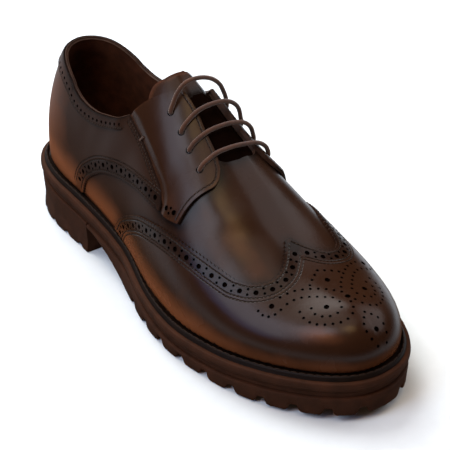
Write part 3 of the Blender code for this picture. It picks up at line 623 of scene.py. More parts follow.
def addPiece(name, points, faces, materials, slots=None, attributes=None, sharpDeg=38, normals=None,
             topCorners=0):
    mesh = bpy.data.meshes.new(name)
    mesh.from_pydata(toWorld(points).tolist(), [], [tuple(int(i) for i in face) for face in faces])
    for surface in materials:
        mesh.materials.append(finishes[surface])
    if slots is not None:
        mesh.polygons.foreach_set("material_index", np.asarray(slots, np.int32))
    for key, values in (attributes or {}).items():
        layer = mesh.attributes.new(key, "FLOAT", "POINT")
        layer.data.foreach_set("value", np.asarray(values, np.float32))
    mesh.shade_smooth()
    mesh.set_sharp_from_angle(angle=math.radians(sharpDeg))
    mesh.validate()
    if normals is not None:  # plain leather takes the last's own normals, so that highlights run smooth
        corners = np.empty(len(mesh.loops), np.int32)
        mesh.loops.foreach_get("vertex_index", corners)
        shown = np.array([corner.vector for corner in mesh.corner_normals])
        known = np.isfinite(normals[corners, 0])
        known[topCorners:] = False  # the back and the walls keep the mesh's own
        shown[known] = normals[corners[known]]
        mesh.normals_split_custom_set(shown)
    made = bpy.data.objects.new(name, mesh)
    bpy.context.scene.collection.objects.link(made)
    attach(made, "root")
    return made


# How much lighter and warmer the tone is: over the welt, lower towards the toe, and round the heel
toneLevels = {"plain": 0.30, "welt": 0.74, "weltFrom": 2, "weltHigh": 27, "toeHigh": 14, "toeRun": (150, 265),
           "toeLess": 0.55, "toeLessRun": (175, 262), "heel": 0.55, "heelRun": (4, 62), "heelHigh": (25, 90)}
# Painted highlights, warm patches on the toe and the vamp: along, side, rise, reach along, reach up, strength
paintedHighlightSpots = (
    (271, -1, 0.50, 13, 12, 0.22),
    (206, -1, 0.75, 28, 9, 0.14),
)


def calfTone(turn, rise, points):
    along, side = place(turn)
    height = points[:, 2] - section("feather", along)
    fall = toneLevels["weltHigh"] - toneLevels["toeHigh"]
    lighterTop = toneLevels["weltHigh"] - fall * smooth(*toneLevels["toeRun"], along)  # top of the lighter band
    overWelt = toneLevels["welt"] * (1 - smooth(toneLevels["weltFrom"], lighterTop, height))
    toneAndHighlight = toneLevels["plain"] + overWelt * (1 - toneLevels["toeLess"] * smooth(*toneLevels["toeLessRun"], along))
    atHeel = toneLevels["heel"] * (1 - smooth(*toneLevels["heelRun"], along))
    toneAndHighlight = toneAndHighlight + atHeel * (1 - smooth(*toneLevels["heelHigh"], height))
    # painted highlights on the toe and the vamp
    for at, spotSide, level, reach, rising, strength in paintedHighlightSpots:
        up = (rise - level) * lastForm["girthMm"] / rising
        spot = strength * np.exp(-((along - at) / reach) ** 2 - up ** 2)
        toneAndHighlight = toneAndHighlight + spilled(spot, side, spotSide, rise)
    return np.clip(toneAndHighlight, 0, 1)


# A cut piece of leather in mm: how near its rows of points may stand, and how its edges are shaded
cutLook = {
    "holeSink": 0.12, "holeCollar": 0.42, "collarGap": 0.25, "holeClear": 0.2,
    "edgeRow": 0.75, "edgeGap": 0.45, "gridGap": 0.9,
    "grooveStep": 0.9, "grooveGap": 0.34, "shoulderGap": 0.26,
    "shoulders": ((0.32, 0.55), (0.68, 0.0)),  # beside the groove's middle, share of its depth
    "spineRun": (0.90, 0.96),  # the columns meet at the spine, so its normals are shared from here up
    # painted shade in the stitch grooves and round the punched holes
    "sunkFrom": 0.1, "sunkDusk": 0.6,
    "edgeReach": 3.2, "edgePower": 1.2, "edgeHighlightReach": 1.1,
    "creaseRun": (0.6, 2.8), "creaseDusk": 0.9,  # painted shade in the crease over the welt
    "bandNear": (1.6, 2.6), "bandFar": (7.2, 8.4),
    "backTone": 0.4, "backDusk": 0.7,
}
surfaceSlots = {"face": 0, "back": 1, "edge": 2, "shadeUnderlay": 3, "brushed": 4}  # in a piece's materials


def cutLeather(name, outline, low, high, materials, holes=(), grooves=(), drop=0.4, mouth=None, tone=None,
               relief=None, curl=None, edgeShade=0.35, bands=(), paintedEdgeHighlight=0.0, faceSlot=None, thin=None):
    rims = [outline] if mouth is None else [outline, mouth]
    framed = len(rims)
    collars = []
    if len(holes):
        rims += ringsAt(holes)
        collars = ringsAt(holes, cutLook["holeCollar"])
    planLoop = flatPlan(outline)
    planMouth = None if mouth is None else flatPlan(mouth)
    points = np.concatenate(rims)
    depth = np.full(len(points), -cutLook["holeSink"])
    ring = np.zeros(len(points), int)  # which hole a point is on the rim of, 0 for none
    edges = []
    start = 0
    for k, loop in enumerate(rims):
        edges += [(start + i, start + (i + 1) % len(loop)) for i in range(len(loop))]
        ring[start:start + len(loop)] = max(0, k - framed + 1)
        if k < framed:
            depth[start:start + len(loop)] = -drop
        start += len(loop)
    rimCount = start

    def within(plan):
        found = insideLoop(planLoop, plan)
        return found if planMouth is None else found & ~insideLoop(planMouth, plan)

    def accept(extra, extraDepth, gap):
        nonlocal points, depth
        tree = treeOf(last(points[:, 0], points[:, 1]))
        solid = last(extra[:, 0], extra[:, 1])
        keep = within(flatPlan(extra))
        for i in np.nonzero(keep)[0]:
            keep[i] = tree.find(solid[i])[2] > gap
        if len(holes):
            centres = last(np.asarray(holes)[:, 0], np.asarray(holes)[:, 1])
            away = np.linalg.norm(solid[:, None] - centres[None], axis=2) - np.asarray(holes)[:, 2][None]
            keep &= away.min(1) > cutLook["holeClear"]
        points = np.concatenate([points, extra[keep]])
        depth = np.concatenate([depth, np.full(keep.sum(), extraDepth)])

    coarse = outline[::2]
    for sign in (1, -1):
        edgeRow = beside(np.concatenate([coarse, coarse[:2]]), sign * cutLook["edgeRow"])
        accept(edgeRow[:-1], 0.0, cutLook["edgeGap"])
    if collars:
        accept(np.concatenate(collars), 0.0, cutLook["collarGap"])
    for line, groove in grooves:
        base = stepped(line, cutLook["grooveStep"])
        accept(base, -groove, cutLook["grooveGap"])
        for aside, depthShare in cutLook["shoulders"]:
            for sign in (1, -1):
                accept(beside(base, sign * aside), -groove * depthShare, cutLook["shoulderGap"])
    accept(sharedGrid, 0.0, cutLook["gridGap"])

    plan = flatPlan(points)
    made = delaunay_2d_cdt([Vector(p) for p in plan], edges, [], 0, 1e-6)
    source = np.array([ids[0] if ids else -1 for ids in made[3]])
    faces = source[np.array(made[2])]
    faces = faces[(faces >= 0).all(1)]
    onRing = np.concatenate([ring, np.zeros(len(points) - len(ring), int)])
    ring = onRing[faces]
    punched = (ring[:, 0] > 0) & (ring[:, 0] == ring[:, 1]) & (ring[:, 0] == ring[:, 2])
    faces = faces[~punched]
    faces = faces[within(plan[faces].mean(1))]
    lifted = np.zeros(len(points)) if curl is None else curl(points)
    raised = depth if relief is None else depth + relief(points)
    outer = skin(points[:, 0], points[:, 1], high + raised + lifted)
    inner = skin(points[:, 0], points[:, 1], low + lifted + (0 if thin is None else thin(points)))

    def plainFace(turn, rise):  # the face without its rims and grooves
        at = np.stack([turn, np.clip(rise, probe["step"], 1 - probe["step"])], -1)
        rising = (0 if curl is None else curl(at)) + (0 if relief is None else relief(at))
        return skin(at[:, 0], at[:, 1], high + rising)

    def shownNormal(spots):
        turn, rise = spots.T
        step = probe["step"]
        out = np.cross(plainFace(turn + step, rise) - plainFace(turn - step, rise),
                       plainFace(turn, rise + step) - plainFace(turn, rise - step))
        out /= np.maximum(np.linalg.norm(out, axis=1), 1e-9)[:, None]
        share = smooth(*cutLook["spineRun"], rise)[:, None]
        out = out * (1 - share) + surfaceNormal(turn, rise) * share
        return out / np.linalg.norm(out, axis=1)[:, None]

    sample = faces[len(faces) // 2]
    facing = np.cross(outer[sample[1]] - outer[sample[0]], outer[sample[2]] - outer[sample[0]])
    if facing @ surfaceNormal(*points[sample[0]][:, None])[0] < 0:
        faces = faces[:, ::-1]
    count = len(points)
    uses = {(a, b) for f in faces for a, b in ((f[0], f[1]), (f[1], f[2]), (f[2], f[0]))}
    rim = [(a, b) for a, b in uses if (b, a) not in uses]
    solid = [tuple(f) for f in faces]
    solid += [(f[2] + count, f[1] + count, f[0] + count) for f in faces]
    solid += [(b, a, a + count, b + count) for a, b in rim]
    topSlots = np.full(len(faces), surfaceSlots["face"])
    if faceSlot is not None:
        chosen = faceSlot(points)[faces]
        topSlots = np.where((chosen == surfaceSlots["face"]).any(1), surfaceSlots["face"], chosen.max(1))
    # hole walls take the painted shade, the other walls the cut edge
    wallSlots = [surfaceSlots["shadeUnderlay" if onRing[a] and onRing[b] else "edge"] for a, b in rim]
    slots = np.concatenate([topSlots, np.full(len(faces), surfaceSlots["back"]), wallSlots])
    toneAndHighlight = calfTone(points[:, 0], points[:, 1], outer)
    away = distanceTo(treeAlong(outline), points)
    dusk = edgeShade * np.exp(-(away / cutLook["edgeReach"]) ** cutLook["edgePower"])
    # painted shade in the grooves and round the holes
    dusk = dusk + np.where(depth < -cutLook["sunkFrom"], cutLook["sunkDusk"], 0.0)
    # painted highlight along the cut edge
    toneAndHighlight = np.clip(toneAndHighlight + paintedEdgeHighlight * np.exp(-(away / cutLook["edgeHighlightReach"]) ** 2), 0, 1)
    height = outer[:, 2] - section("feather", place(points[:, 0])[0])
    # painted shade in the crease just over the welt
    dusk = np.maximum(dusk, cutLook["creaseDusk"] * (1 - smooth(*cutLook["creaseRun"], height)))
    for band in bands:
        near = distanceTo(treeAlong(band), points)
        inBand = smooth(*cutLook["bandNear"], near) * (1 - smooth(*cutLook["bandFar"], near))
        dusk = dusk + brogueing["bandShade"] * inBand
    if tone is not None:
        dusk = np.maximum(dusk, tone(points))
    both = {"toneAndHighlight": np.concatenate([toneAndHighlight, toneAndHighlight * cutLook["backTone"]]),
            "dusk": np.concatenate([np.clip(dusk, 0, 1), np.full(count, cutLook["backDusk"])])}
    plain = (depth == 0) | (np.arange(count) < rimCount)
    normals = np.full((2 * count, 3), np.nan)
    normals[:count][plain] = shownNormal(points[plain])
    piece = addPiece(name, np.concatenate([outer, inner]), solid, materials, slots, both, normals=normals,
                     topCorners=3 * len(faces))
    print("cut", name, len(points), "points", len(faces) * 2, "triangles")
    return piece


# Threads: one mesh of small strands; along the strand, share of the radius, radii above the row
strandShape = ((-0.5, 0.35, -0.55), (-0.3, 1.0, 0.0), (0.3, 1.0, 0.0), (0.5, 0.35, -0.55))


def stitchMesh(lines, radius, pitch, share, fineSides=6):
    points = []
    faces = []
    lastRing = len(strandShape) - 1
    angle = np.arange(fineSides) * 2 * math.pi / fineSides
    for line, lift in lines:
        spots = stepped(line, pitch, pitch * 0.5, pitch * 0.5)
        centre = skin(spots[:, 0], spots[:, 1], lift(spots) if callable(lift) else lift)
        out = surfaceNormal(spots[:, 0], spots[:, 1])
        run = np.gradient(centre, axis=0)
        run /= np.linalg.norm(run, axis=1)[:, None]
        aside = np.cross(out, run)
        for k in range(len(centre)):
            start = len(points)
            for reach, width, sink in strandShape:
                middle = centre[k] + run[k] * reach * pitch * share + out[k] * sink * radius
                for a in angle:
                    points.append(middle + radius * width * (math.cos(a) * aside[k] + math.sin(a) * out[k]))
            for j in range(lastRing):
                for i in range(fineSides):
                    n = (i + 1) % fineSides
                    faces.append((start + j * fineSides + i, start + j * fineSides + n,
                                  start + (j + 1) * fineSides + n, start + (j + 1) * fineSides + i))
            faces.append(tuple(start + i for i in reversed(range(fineSides))))
            faces.append(tuple(start + lastRing * fineSides + i for i in range(fineSides)))
    return np.array(points), faces


# Heights of the leather's layers over the last, in mm
layers = {"wallOut": -1.3, "wallIn": -3.4, "under": -1.5, "wing": 0.2, "quarter": 0.3, "facing": 0.9,
          "collar": 1.3, "gore": -0.2, "tongueOut": -3.85, "tongueIn": -6.0}
brogueing = {"bigRadius": 1.45, "smallRadius": 0.76, "pitch": 9.4, "rowMm": 5.1, "pairMm": 1.6,
             "toothPitch": 2.7, "toothDepth": 0.95, "edgeStitch": 1.7, "farStitches": (8.2, 10.2),
             "grooveMm": 0.3, "threadSunk": 0.12, "bandShade": 0.38}
lineStep = 1.2  # mm between the points of a stitched or punched row


def brogueRow(edge, side, toLeft, first, final):  # one large hole, then a pair of small ones, and so on
    sign = 1 if toLeft else -1
    row = keptToSide(beside(stepped(edge, lineStep), -sign * brogueing["rowMm"]), side)
    large = stepped(row, brogueing["pitch"], first, final)
    holes = [(t, r, brogueing["bigRadius"]) for t, r in large]
    between = (large[:-1] + large[1:]) / 2
    for offset in (-brogueing["pairMm"], brogueing["pairMm"]):
        holes += [(t, r, brogueing["smallRadius"]) for t, r in beside(between, offset)]
    return holes


stationCounts = (40, 70, 50)  # sections of the heel's round, the middle and the toe's round
halfTurns = np.concatenate([[0.0]] + [np.linspace(i, i + 1, count)[1:]
                                      for i, count in enumerate(stationCounts)])
allTurns = np.concatenate([halfTurns, 6 - halfTurns[-2:0:-1]])
overlayFoot = 0.012
threadLines = []

# Wing cap: gimped edge, brogued band and toe medallion
wingLook = {"firstHole": 7.0, "finalHole": 5.0, "stitchStart": 3.0, "stitchEnd": 1.0, "mitre": 0.5,
            "footGap": 0.01}
wingHoles = []
wingGrooves = []
wingParts = {}
for side in (-1, 1):
    edge = trace(wingEdge, side)
    toLeft = side < 0
    sign = 1 if toLeft else -1
    wingParts[side] = pinked(edge, brogueing["toothPitch"], brogueing["toothDepth"], toLeft)
    wingHoles += brogueRow(edge, side, toLeft, wingLook["firstHole"], wingLook["finalHole"])
    for offset in (brogueing["edgeStitch"], *brogueing["farStitches"]):
        stitchEnd = wingLook["stitchEnd"] + offset * wingLook["mitre"]
        base = stepped(edge, lineStep, wingLook["stitchStart"], stitchEnd)
        line = keptToSide(beside(base, -sign * offset), side)
        wingGrooves.append((line, brogueing["grooveMm"]))
        threadLines.append((line, layers["wing"] - brogueing["threadSunk"]))

# The medallion is drawn on the toe's plan: forward of the wing's peak, out from the toe's axis, and holes
medallion = {"peakAlong": 213.8, "axisX": 5.6, "smallRadius": 0.8, "bigRadius": 1.5}
medallionRows = {  # route of small holes, how many, whether the first is on the axis
    "shield": (((22.3, 0.0), (25.4, 6.2), (28.2, 10.6)), 4, True),
    "shieldFront": (((42.2, 0.0), (35.3, 5.7), (29.8, 12.7), (25.5, 20.0), (23.3, 27.5)), 9, True),
    "rosetteRear": (((42.8, 7.0), (36.8, 12.7), (31.5, 19.4), (29.0, 26.0), (28.8, 31.5)), 8, False),
    "scallop": (((28.2, 35.0), (26.0, 38.0), (23.0, 39.4), (19.6, 39.6)), 4, False),
    "rosetteFront": (((47.5, 6.4), (51.2, 8.2), (52.6, 11.7), (51.3, 16.2), (47.9, 19.5), (43.8, 21.0),
                      (40.3, 20.0)), 7, False),
    "outer": (((51.2, 1.6), (55.3, 3.4), (58.2, 6.8), (58.8, 10.5), (57.5, 15.0), (54.5, 19.0), (50.5, 23.0),
               (46.0, 25.5), (41.0, 26.3), (37.3, 25.5)), 11, False),
    "teardrop": (((60.5, 0.0), (63.3, 3.0), (66.0, 5.3), (69.6, 6.1), (72.9, 5.2), (75.4, 3.2)), 6, True),
}
medallionBig = ((30.5, 0.0), (47.0, 0.0), (45.5, 13.9), (23.6, 33.6), (70.1, 0.0))


def planSpot(forward, out, side):
    return (medallion["axisX"] + side * out, -(medallion["peakAlong"] + forward), 0.0)


medallionSpots = []
for route, count, onAxis in medallionRows.values():
    route = np.array(route, float)
    knots = np.concatenate([[0], np.cumsum(np.hypot(*np.diff(route, axis=0).T))])
    at = np.linspace(0, knots[-1], count)
    forward = hermite(knots, route[:, 0].copy(), at)
    out = hermite(knots, route[:, 1].copy(), at)
    for side in (-1, 1):
        for i in range(count):
            if onAxis and i == 0 and side > 0:
                continue
            medallionSpots.append((planSpot(forward[i], out[i], side), medallion["smallRadius"]))
for forward, out in medallionBig:
    for side in (-1, 1) if out > 0 else (-1,):
        medallionSpots.append((planSpot(forward, out, side), medallion["bigRadius"]))
spotPlaces = locate([spot[0] for spot in medallionSpots], plan=True)
wingHoles += [(t, r, spot[1]) for (t, r), spot in zip(spotPlaces, medallionSpots)]

wingStart, wingStop = (float(turnAt(wingEdge[0][0], side)) for side in (-1, 1))
footGap = wingLook["footGap"]
footTurns = allTurns[(allTurns > wingStart + footGap) & (allTurns < wingStop - footGap)]
wingFoot = np.stack([footTurns, np.full(len(footTurns), overlayFoot)], -1)
wingOutline = joined(wingParts[-1][::-1], wingFoot, wingParts[1])
wingPiece = cutLeather("wingCap", wingOutline, layers["under"], layers["wing"],
                       ("calf", "lining", "cutEdge", "shadeUnderlay"), wingHoles, wingGrooves,
                       bands=[trace(wingEdge, side) for side in (-1, 1)])
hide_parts("wing_cap")

# Rear quarter: one piece round the heel, its lower front edge gimped and brogued
quarterLook = {"firstHole": 8.0, "finalHole": 6.5, "stitchStart": 3.0, "stitchEnd": 4.5,
               "seamRows": (1.6, 3.6), "seamStart": 12.0, "seamEnd": 3.0, "seamGroove": 0.2, "footEnd": 61}
quarterHoles = []
quarterGrooves = []
quarterParts = []
for side in (-1, 1):
    toLeft = side > 0
    sign = 1 if toLeft else -1
    low = trace(bandEdge, side)
    seamLine = trace(seam, side)
    gimped = pinked(low, brogueing["toothPitch"], brogueing["toothDepth"], toLeft)
    quarterParts.append(joined(gimped, seamLine, trace(topline, side)[::-1]))
    quarterHoles += brogueRow(low, side, toLeft, quarterLook["firstHole"], quarterLook["finalHole"])
    sewn = [(stepped(low, lineStep, quarterLook["stitchStart"], quarterLook["stitchEnd"]), offset,
             brogueing["grooveMm"]) for offset in (brogueing["edgeStitch"], *brogueing["farStitches"])]
    sewn += [(stepped(seamLine, lineStep, quarterLook["seamStart"], quarterLook["seamEnd"]), offset,
              quarterLook["seamGroove"]) for offset in quarterLook["seamRows"]]
    for base, offset, groove in sewn:
        line = beside(base, -sign * offset)
        quarterGrooves.append((line, groove))
        threadLines.append((line, layers["quarter"] - brogueing["threadSunk"]))
rearTurns = halfTurns[(halfTurns > 0) & (halfTurns < turnAt(quarterLook["footEnd"], -1))]
rearFoot = np.concatenate([6 - rearTurns[::-1], [0.0], rearTurns])
quarterFoot = np.stack([rearFoot, np.full(len(rearFoot), overlayFoot)], -1)
quarterOutline = joined(quarterParts[0], quarterParts[1][::-1], quarterFoot)
quarterPiece = cutLeather("rearQuarter", quarterOutline, layers["under"], layers["quarter"],
                          ("heelCalf", "lining", "cutEdge", "shadeUnderlay"), quarterHoles, quarterGrooves,
                          bands=[trace(bandEdge, side) for side in (-1, 1)])
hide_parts("rear_quarter")

# Collar band: a folded strip with one row of holes under the topline, tucked down at its front ends
collarLook = {"holeRadius": 0.88, "pitch": 4.3, "rowMm": 3.5, "firstHole": (1.0, 3.3), "finalHole": 4.0,
              "stitchMm": 1.3, "stitchEnd": 1.0, "grooveMm": 0.15, "threadSunk": 0.1, "belowTop": 0.002,
              "backing": 0.1, "tuckMm": 0.95, "tuckRun": (95, 104)}
collarHoles = []
collarGrooves = []
collarLows = []
collarTops = []
for side in (-1, 1):
    low = trace(collarLow, side)
    collarLows.append(low)
    dip = collarLook["belowTop"]
    collarTops.append(trace([(a, b - dip, c - dip) for a, b, c in topline], side))
    sign = 1 if side > 0 else -1
    row = beside(stepped(low, lineStep), -sign * collarLook["rowMm"])
    firstHole = collarLook["firstHole"][0 if side < 0 else 1]
    spots = stepped(row, collarLook["pitch"], firstHole, collarLook["finalHole"])
    collarHoles += [(t, r, collarLook["holeRadius"]) for t, r in spots]
    line = beside(stepped(low, lineStep, 0.0, collarLook["stitchEnd"]), -sign * collarLook["stitchMm"])
    collarGrooves.append((line, collarLook["grooveMm"]))
    threadLines.append((line, layers["collar"] - collarLook["threadSunk"]))


def collarTuck(points):
    return -collarLook["tuckMm"] * smooth(*collarLook["tuckRun"], place(points[:, 0])[0])


collarOutline = joined(collarTops[1][::-1], collarTops[0], collarLows[0][::-1], collarLows[1])
collarPiece = cutLeather("collarBand", collarOutline, collarLook["backing"], layers["collar"],
                         ("heelCalf", "lining", "heelCalf", "shadeUnderlay"), collarHoles, collarGrooves,
                         drop=0.3, curl=collarTuck)
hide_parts("collar_band")

# Facings: cut edges on the throat, lifted a little off the vamp at their front corner
facingLook = {"holeRadius": 2.0, "curlMm": 1.1, "curlRun": (148, 172), "curlCorner": (0.66, 0.50),
              "curlReach": 0.2, "lapFrom": 1.0, "lapMm": 6.0, "lapDrop": 1.1, "underlap": 4.0,
              "footShift": 0.9, "stitchMm": 2.1, "stitchTrim": 2.0, "grooveMm": 0.22, "threadSunk": 0.1,
              "edgeHighlight": 0.12, "footRow": (1.0, 3.5, 2.5)}  # step, start and end of the punched group at its foot
goreLook = {"width": 8.0, "lap": 1.0, "drop": 0.004, "facingTop": 0.566, "top": 0.560, "ribMm": 2.4,
            "ribDepth": 0.22}
seamTree = treeAlong(trace(seam, -1))


def facingCurl(points):
    along, side = place(points[:, 0])
    corner = np.where(side < 0, *facingLook["curlCorner"])
    fade = np.exp(-((points[:, 1] - corner) / facingLook["curlReach"]) ** 2)
    rise = facingLook["curlMm"] * smooth(*facingLook["curlRun"], along) * fade
    near = distanceTo(seamTree, points)
    lapped = np.where(side < 0, 1 - smooth(facingLook["lapFrom"], facingLook["lapMm"], near), 0.0)
    return rise * (1 - lapped) - facingLook["lapDrop"] * lapped


for side, name, node in ((-1, "facingLateral", "facing_lateral"), (1, "facingMedial", "facing_medial")):
    sign = -1 if side < 0 else 1
    if side > 0:
        edgeRows = [(a + goreLook["width"], b, c - goreLook["drop"]) for a, b, c in seam[1:-1]]
        edgeRows.append((seam[-1][0] + goreLook["width"], 0.0, goreLook["facingTop"]))
    else:
        edgeRows = [(a - facingLook["underlap"], b, c) for a, b, c in seam[1:]]  # runs on under the quarter
        edgeRows[0] = (seam[1][0] + facingLook["footShift"], *seam[1][1:])
        edgeRows[-1] = seam[-1]
    topRows = facingTop if side < 0 else facingTop[1:]
    foot = trace(facingFoot, side)
    outline = joined(trace(topRows, side), trace(throat, side), trace(facingFront, side), foot,
                     trace(edgeRows, side))
    holes = [(float(turnAt(row[0], side)), row[1] if side < 0 else row[2], facingLook["holeRadius"])
             for row in laceHoles]
    border = joined(trace(throat, side), trace(facingFront, side))
    trim = facingLook["stitchTrim"]
    line = beside(stepped(border, lineStep, trim, trim), sign * facingLook["stitchMm"])
    threadLines.append((line, lambda spots: layers["facing"] - facingLook["threadSunk"] + facingCurl(spots)))
    if side < 0:
        row = beside(stepped(foot, *facingLook["footRow"]), sign * brogueing["rowMm"])
        holes += [(t, r, brogueing["bigRadius"]) for t, r in (row[1], row[-1])]
        middle = row[len(row) // 2:len(row) // 2 + 2]
        pair = (-brogueing["pairMm"], brogueing["pairMm"])
        holes += [(*beside(middle, offset)[0], brogueing["smallRadius"]) for offset in pair]
    piece = cutLeather(name, outline, layers["under"], layers["facing"],
                       ("calf", "lining", "cutEdge", "shadeUnderlay"), holes, [(line, facingLook["grooveMm"])],
                       curl=facingCurl, edgeShade=0.0, paintedEdgeHighlight=facingLook["edgeHighlight"])
    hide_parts(node)

# Elastic gore on the inner side
goreRear = trace([(a + goreLook["lap"], b, c) for a, b, c in seam[1:]], 1)
goreFront = goreLook["width"] - goreLook["lap"]
goreRows = [(a + goreFront, b, c - goreLook["drop"]) for a, b, c in seam[1:-1]]
goreRows.append((seam[-1][0] + goreFront, 0.0, goreLook["top"]))
goreOutline = joined(goreRear, trace(goreRows, 1)[::-1])


def goreRibs(points):
    height = last(points[:, 0], points[:, 1])[:, 2]
    return goreLook["ribDepth"] * np.sin(height * 2 * math.pi / goreLook["ribMm"])


gorePiece = cutLeather("elasticGore", goreOutline, layers["under"], layers["gore"], ("elastic",) * 4,
                       relief=goreRibs)
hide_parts("gore_medial")

# Upper wall: vamp outside, lining inside, open at collar, throat and foot
upperLook = {"throatBack": (0.022, 0.018), "brushedTo": 157, "brushedRise": 0.5, "skiveMm": 1.3,
             "skiveRun": 9.0, "wingDusk": (0.5, 3.0, 1.3), "facingDusk": (0.95, 5.0, 1.6),
             "throatDusk": (0.95, 4.0, 1.6)}
openings = []
for side in (-1, 1):
    outerBack, innerBack = upperLook["throatBack"]
    rear = [(a, b - outerBack, c - innerBack) for a, b, c in throat[:3]]
    openings.append(joined(trace(topline, side), trace(facingTop, side), trace((*rear, *throatEnd), side)))
opening = joined(openings[0], openings[1][::-1])
footLoop = np.stack([allTurns, np.zeros(len(allTurns))], -1)
facingFronts = [joined(trace(facingFront, side), trace(facingFoot, side)) for side in (-1, 1)]
toplineTree = treeAlong(*[trace(topline, side) for side in (-1, 1)])
duskTrees = ((treeAlong(wingOutline), upperLook["wingDusk"]),  # each with its strength, reach and power
             (treeAlong(*facingFronts), upperLook["facingDusk"]),
             (treeAlong(*[trace(throatEnd, side) for side in (-1, 1)]), upperLook["throatDusk"]))


def upperSlot(points):  # painted shade, matt and nearly black, under the overlays; brushed calf on the panel behind the facings
    plan = flatPlan(points)
    hidden = insideLoop(flatPlan(wingOutline), plan) | insideLoop(flatPlan(quarterOutline), plan)
    brushed = (place(points[:, 0])[0] < upperLook["brushedTo"]) & (points[:, 1] < upperLook["brushedRise"])
    shown = np.where(brushed, surfaceSlots["brushed"], surfaceSlots["face"])
    return np.where(hidden, surfaceSlots["shadeUnderlay"], shown)


def collarThin(points):  # the lining is skived thin towards the topline
    return upperLook["skiveMm"] * (1 - smooth(0.0, upperLook["skiveRun"], distanceTo(toplineTree, points)))


def overlayShade(points):  # painted shade and shadow beside the wing's edge, under the facings' front edges and at the foot of the throat
    return np.maximum.reduce([strength * np.exp(-(distanceTo(tree, points) / reach) ** power)
                              for tree, (strength, reach, power) in duskTrees])


upperHoles = [(float(turnAt(row[0], side)), row[1 if side < 0 else 2], facingLook["holeRadius"])
              for side in (-1, 1) for row in laceHoles]
upperPiece = cutLeather("vampAndLining", footLoop, layers["wallIn"], layers["wallOut"],
                        ("calf", "lining", "cutEdge", "shadeUnderlay", "heelCalf"), upperHoles, mouth=opening,
                        tone=overlayShade, faceSlot=upperSlot, drop=0.0, edgeShade=0.0, thin=collarThin)
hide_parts("upper")

# Tongue in two layers, face leather and lining
tongueLook = {"faceBack": -4.95, "liningFace": -5.0, "drop": 0.3, "dusk": 0.92, "duskRun": (122, 131),
              "bareFrom": 130, "edgeHighlight": 0.2, "liningShort": 2.0, "shortRows": 4}
tongueOutline = joined(trace(tongueEdge, -1), trace(tongueEdge, 1)[::-1])


def throatShade(points):  # painted shade: the tongue darkens between the facings, where the throat lies in shadow
    return tongueLook["dusk"] * smooth(*tongueLook["duskRun"], place(points[:, 0])[0])


def tongueSlot(points):  # painted shade, matt and nearly black, where the facings cover it
    covered = place(points[:, 0])[0] > tongueLook["bareFrom"]
    return np.where(covered, surfaceSlots["shadeUnderlay"], surfaceSlots["face"])


tonguePiece = cutLeather("tongueFace", tongueOutline, tongueLook["faceBack"], layers["tongueOut"],
                         ("calf", "lining", "cutEdge", "shadeUnderlay"), drop=tongueLook["drop"], tone=throatShade,
                         edgeShade=0.0, paintedEdgeHighlight=tongueLook["edgeHighlight"], faceSlot=tongueSlot)
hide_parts("tongue")
liningRows = [(a - (tongueLook["liningShort"] if i < tongueLook["shortRows"] else 0.0), b, c)
              for i, (a, b, c) in enumerate(tongueEdge)]
liningOutline = joined(trace(liningRows, -1), trace(liningRows, 1)[::-1])
tongueBack = cutLeather("tongueLining", liningOutline, layers["tongueIn"], tongueLook["liningFace"],
                        ("lining", "lining", "cutEdge"), drop=tongueLook["drop"])


braidLook = {"pitchMm": 1.5, "strands": 3, "crossing": 0.4}


def tube(route, radius, sides, braid=0.0):  # round cord along points, its braid as raised strands
    route = np.asarray(route, float)
    run = np.gradient(route, axis=0)
    run /= np.linalg.norm(run, axis=1)[:, None]
    length = np.concatenate([[0], np.cumsum(np.linalg.norm(np.diff(route, axis=0), axis=1))])
    alongHint = np.array([0.0, 1.0, 0.02])
    across = np.cross(run, alongHint)
    across /= np.linalg.norm(across, axis=1)[:, None]
    third = np.cross(run, across)
    angle = np.arange(sides) * 2 * math.pi / sides
    twist = (2 * math.pi * length / braidLook["pitchMm"])[:, None]
    strands = (braidLook["strands"] * angle)[None]
    pattern = np.sin(twist) * np.cos(strands) + np.cos(twist) * np.sin(strands) * braidLook["crossing"]
    size = radius + braid * pattern
    points = route[:, None] + size[..., None] * (np.cos(angle)[None, :, None] * across[:, None]
                                                + np.sin(angle)[None, :, None] * third[:, None])
    faces = []
    for i in range(len(route) - 1):
        for k in range(sides):
            n = (k + 1) % sides
            faces.append((i * sides + k, (i + 1) * sides + k, (i + 1) * sides + n, i * sides + n))
    faces.append(tuple(range(sides)))
    faces.append(tuple((len(route) - 1) * sides + k for k in reversed(range(sides))))
    return points.reshape(-1, 3), faces, length[-1]


def smoothRoute(points, step):
    points = np.asarray(points, float)
    knots = np.concatenate([[0], np.cumsum(np.linalg.norm(np.diff(points, axis=0), axis=1))])
    at = np.linspace(0, knots[-1], int(knots[-1] / step) + 1)
    return np.stack([hermite(knots, points[:, k].copy(), at) for k in range(3)], -1)


def gather(parts):
    points = []
    faces = []
    start = 0
    for somePoints, someFaces in parts:
        points.append(somePoints)
        faces += [tuple(i + start for i in face) for face in someFaces]
        start += len(somePoints)
    return np.concatenate(points), faces


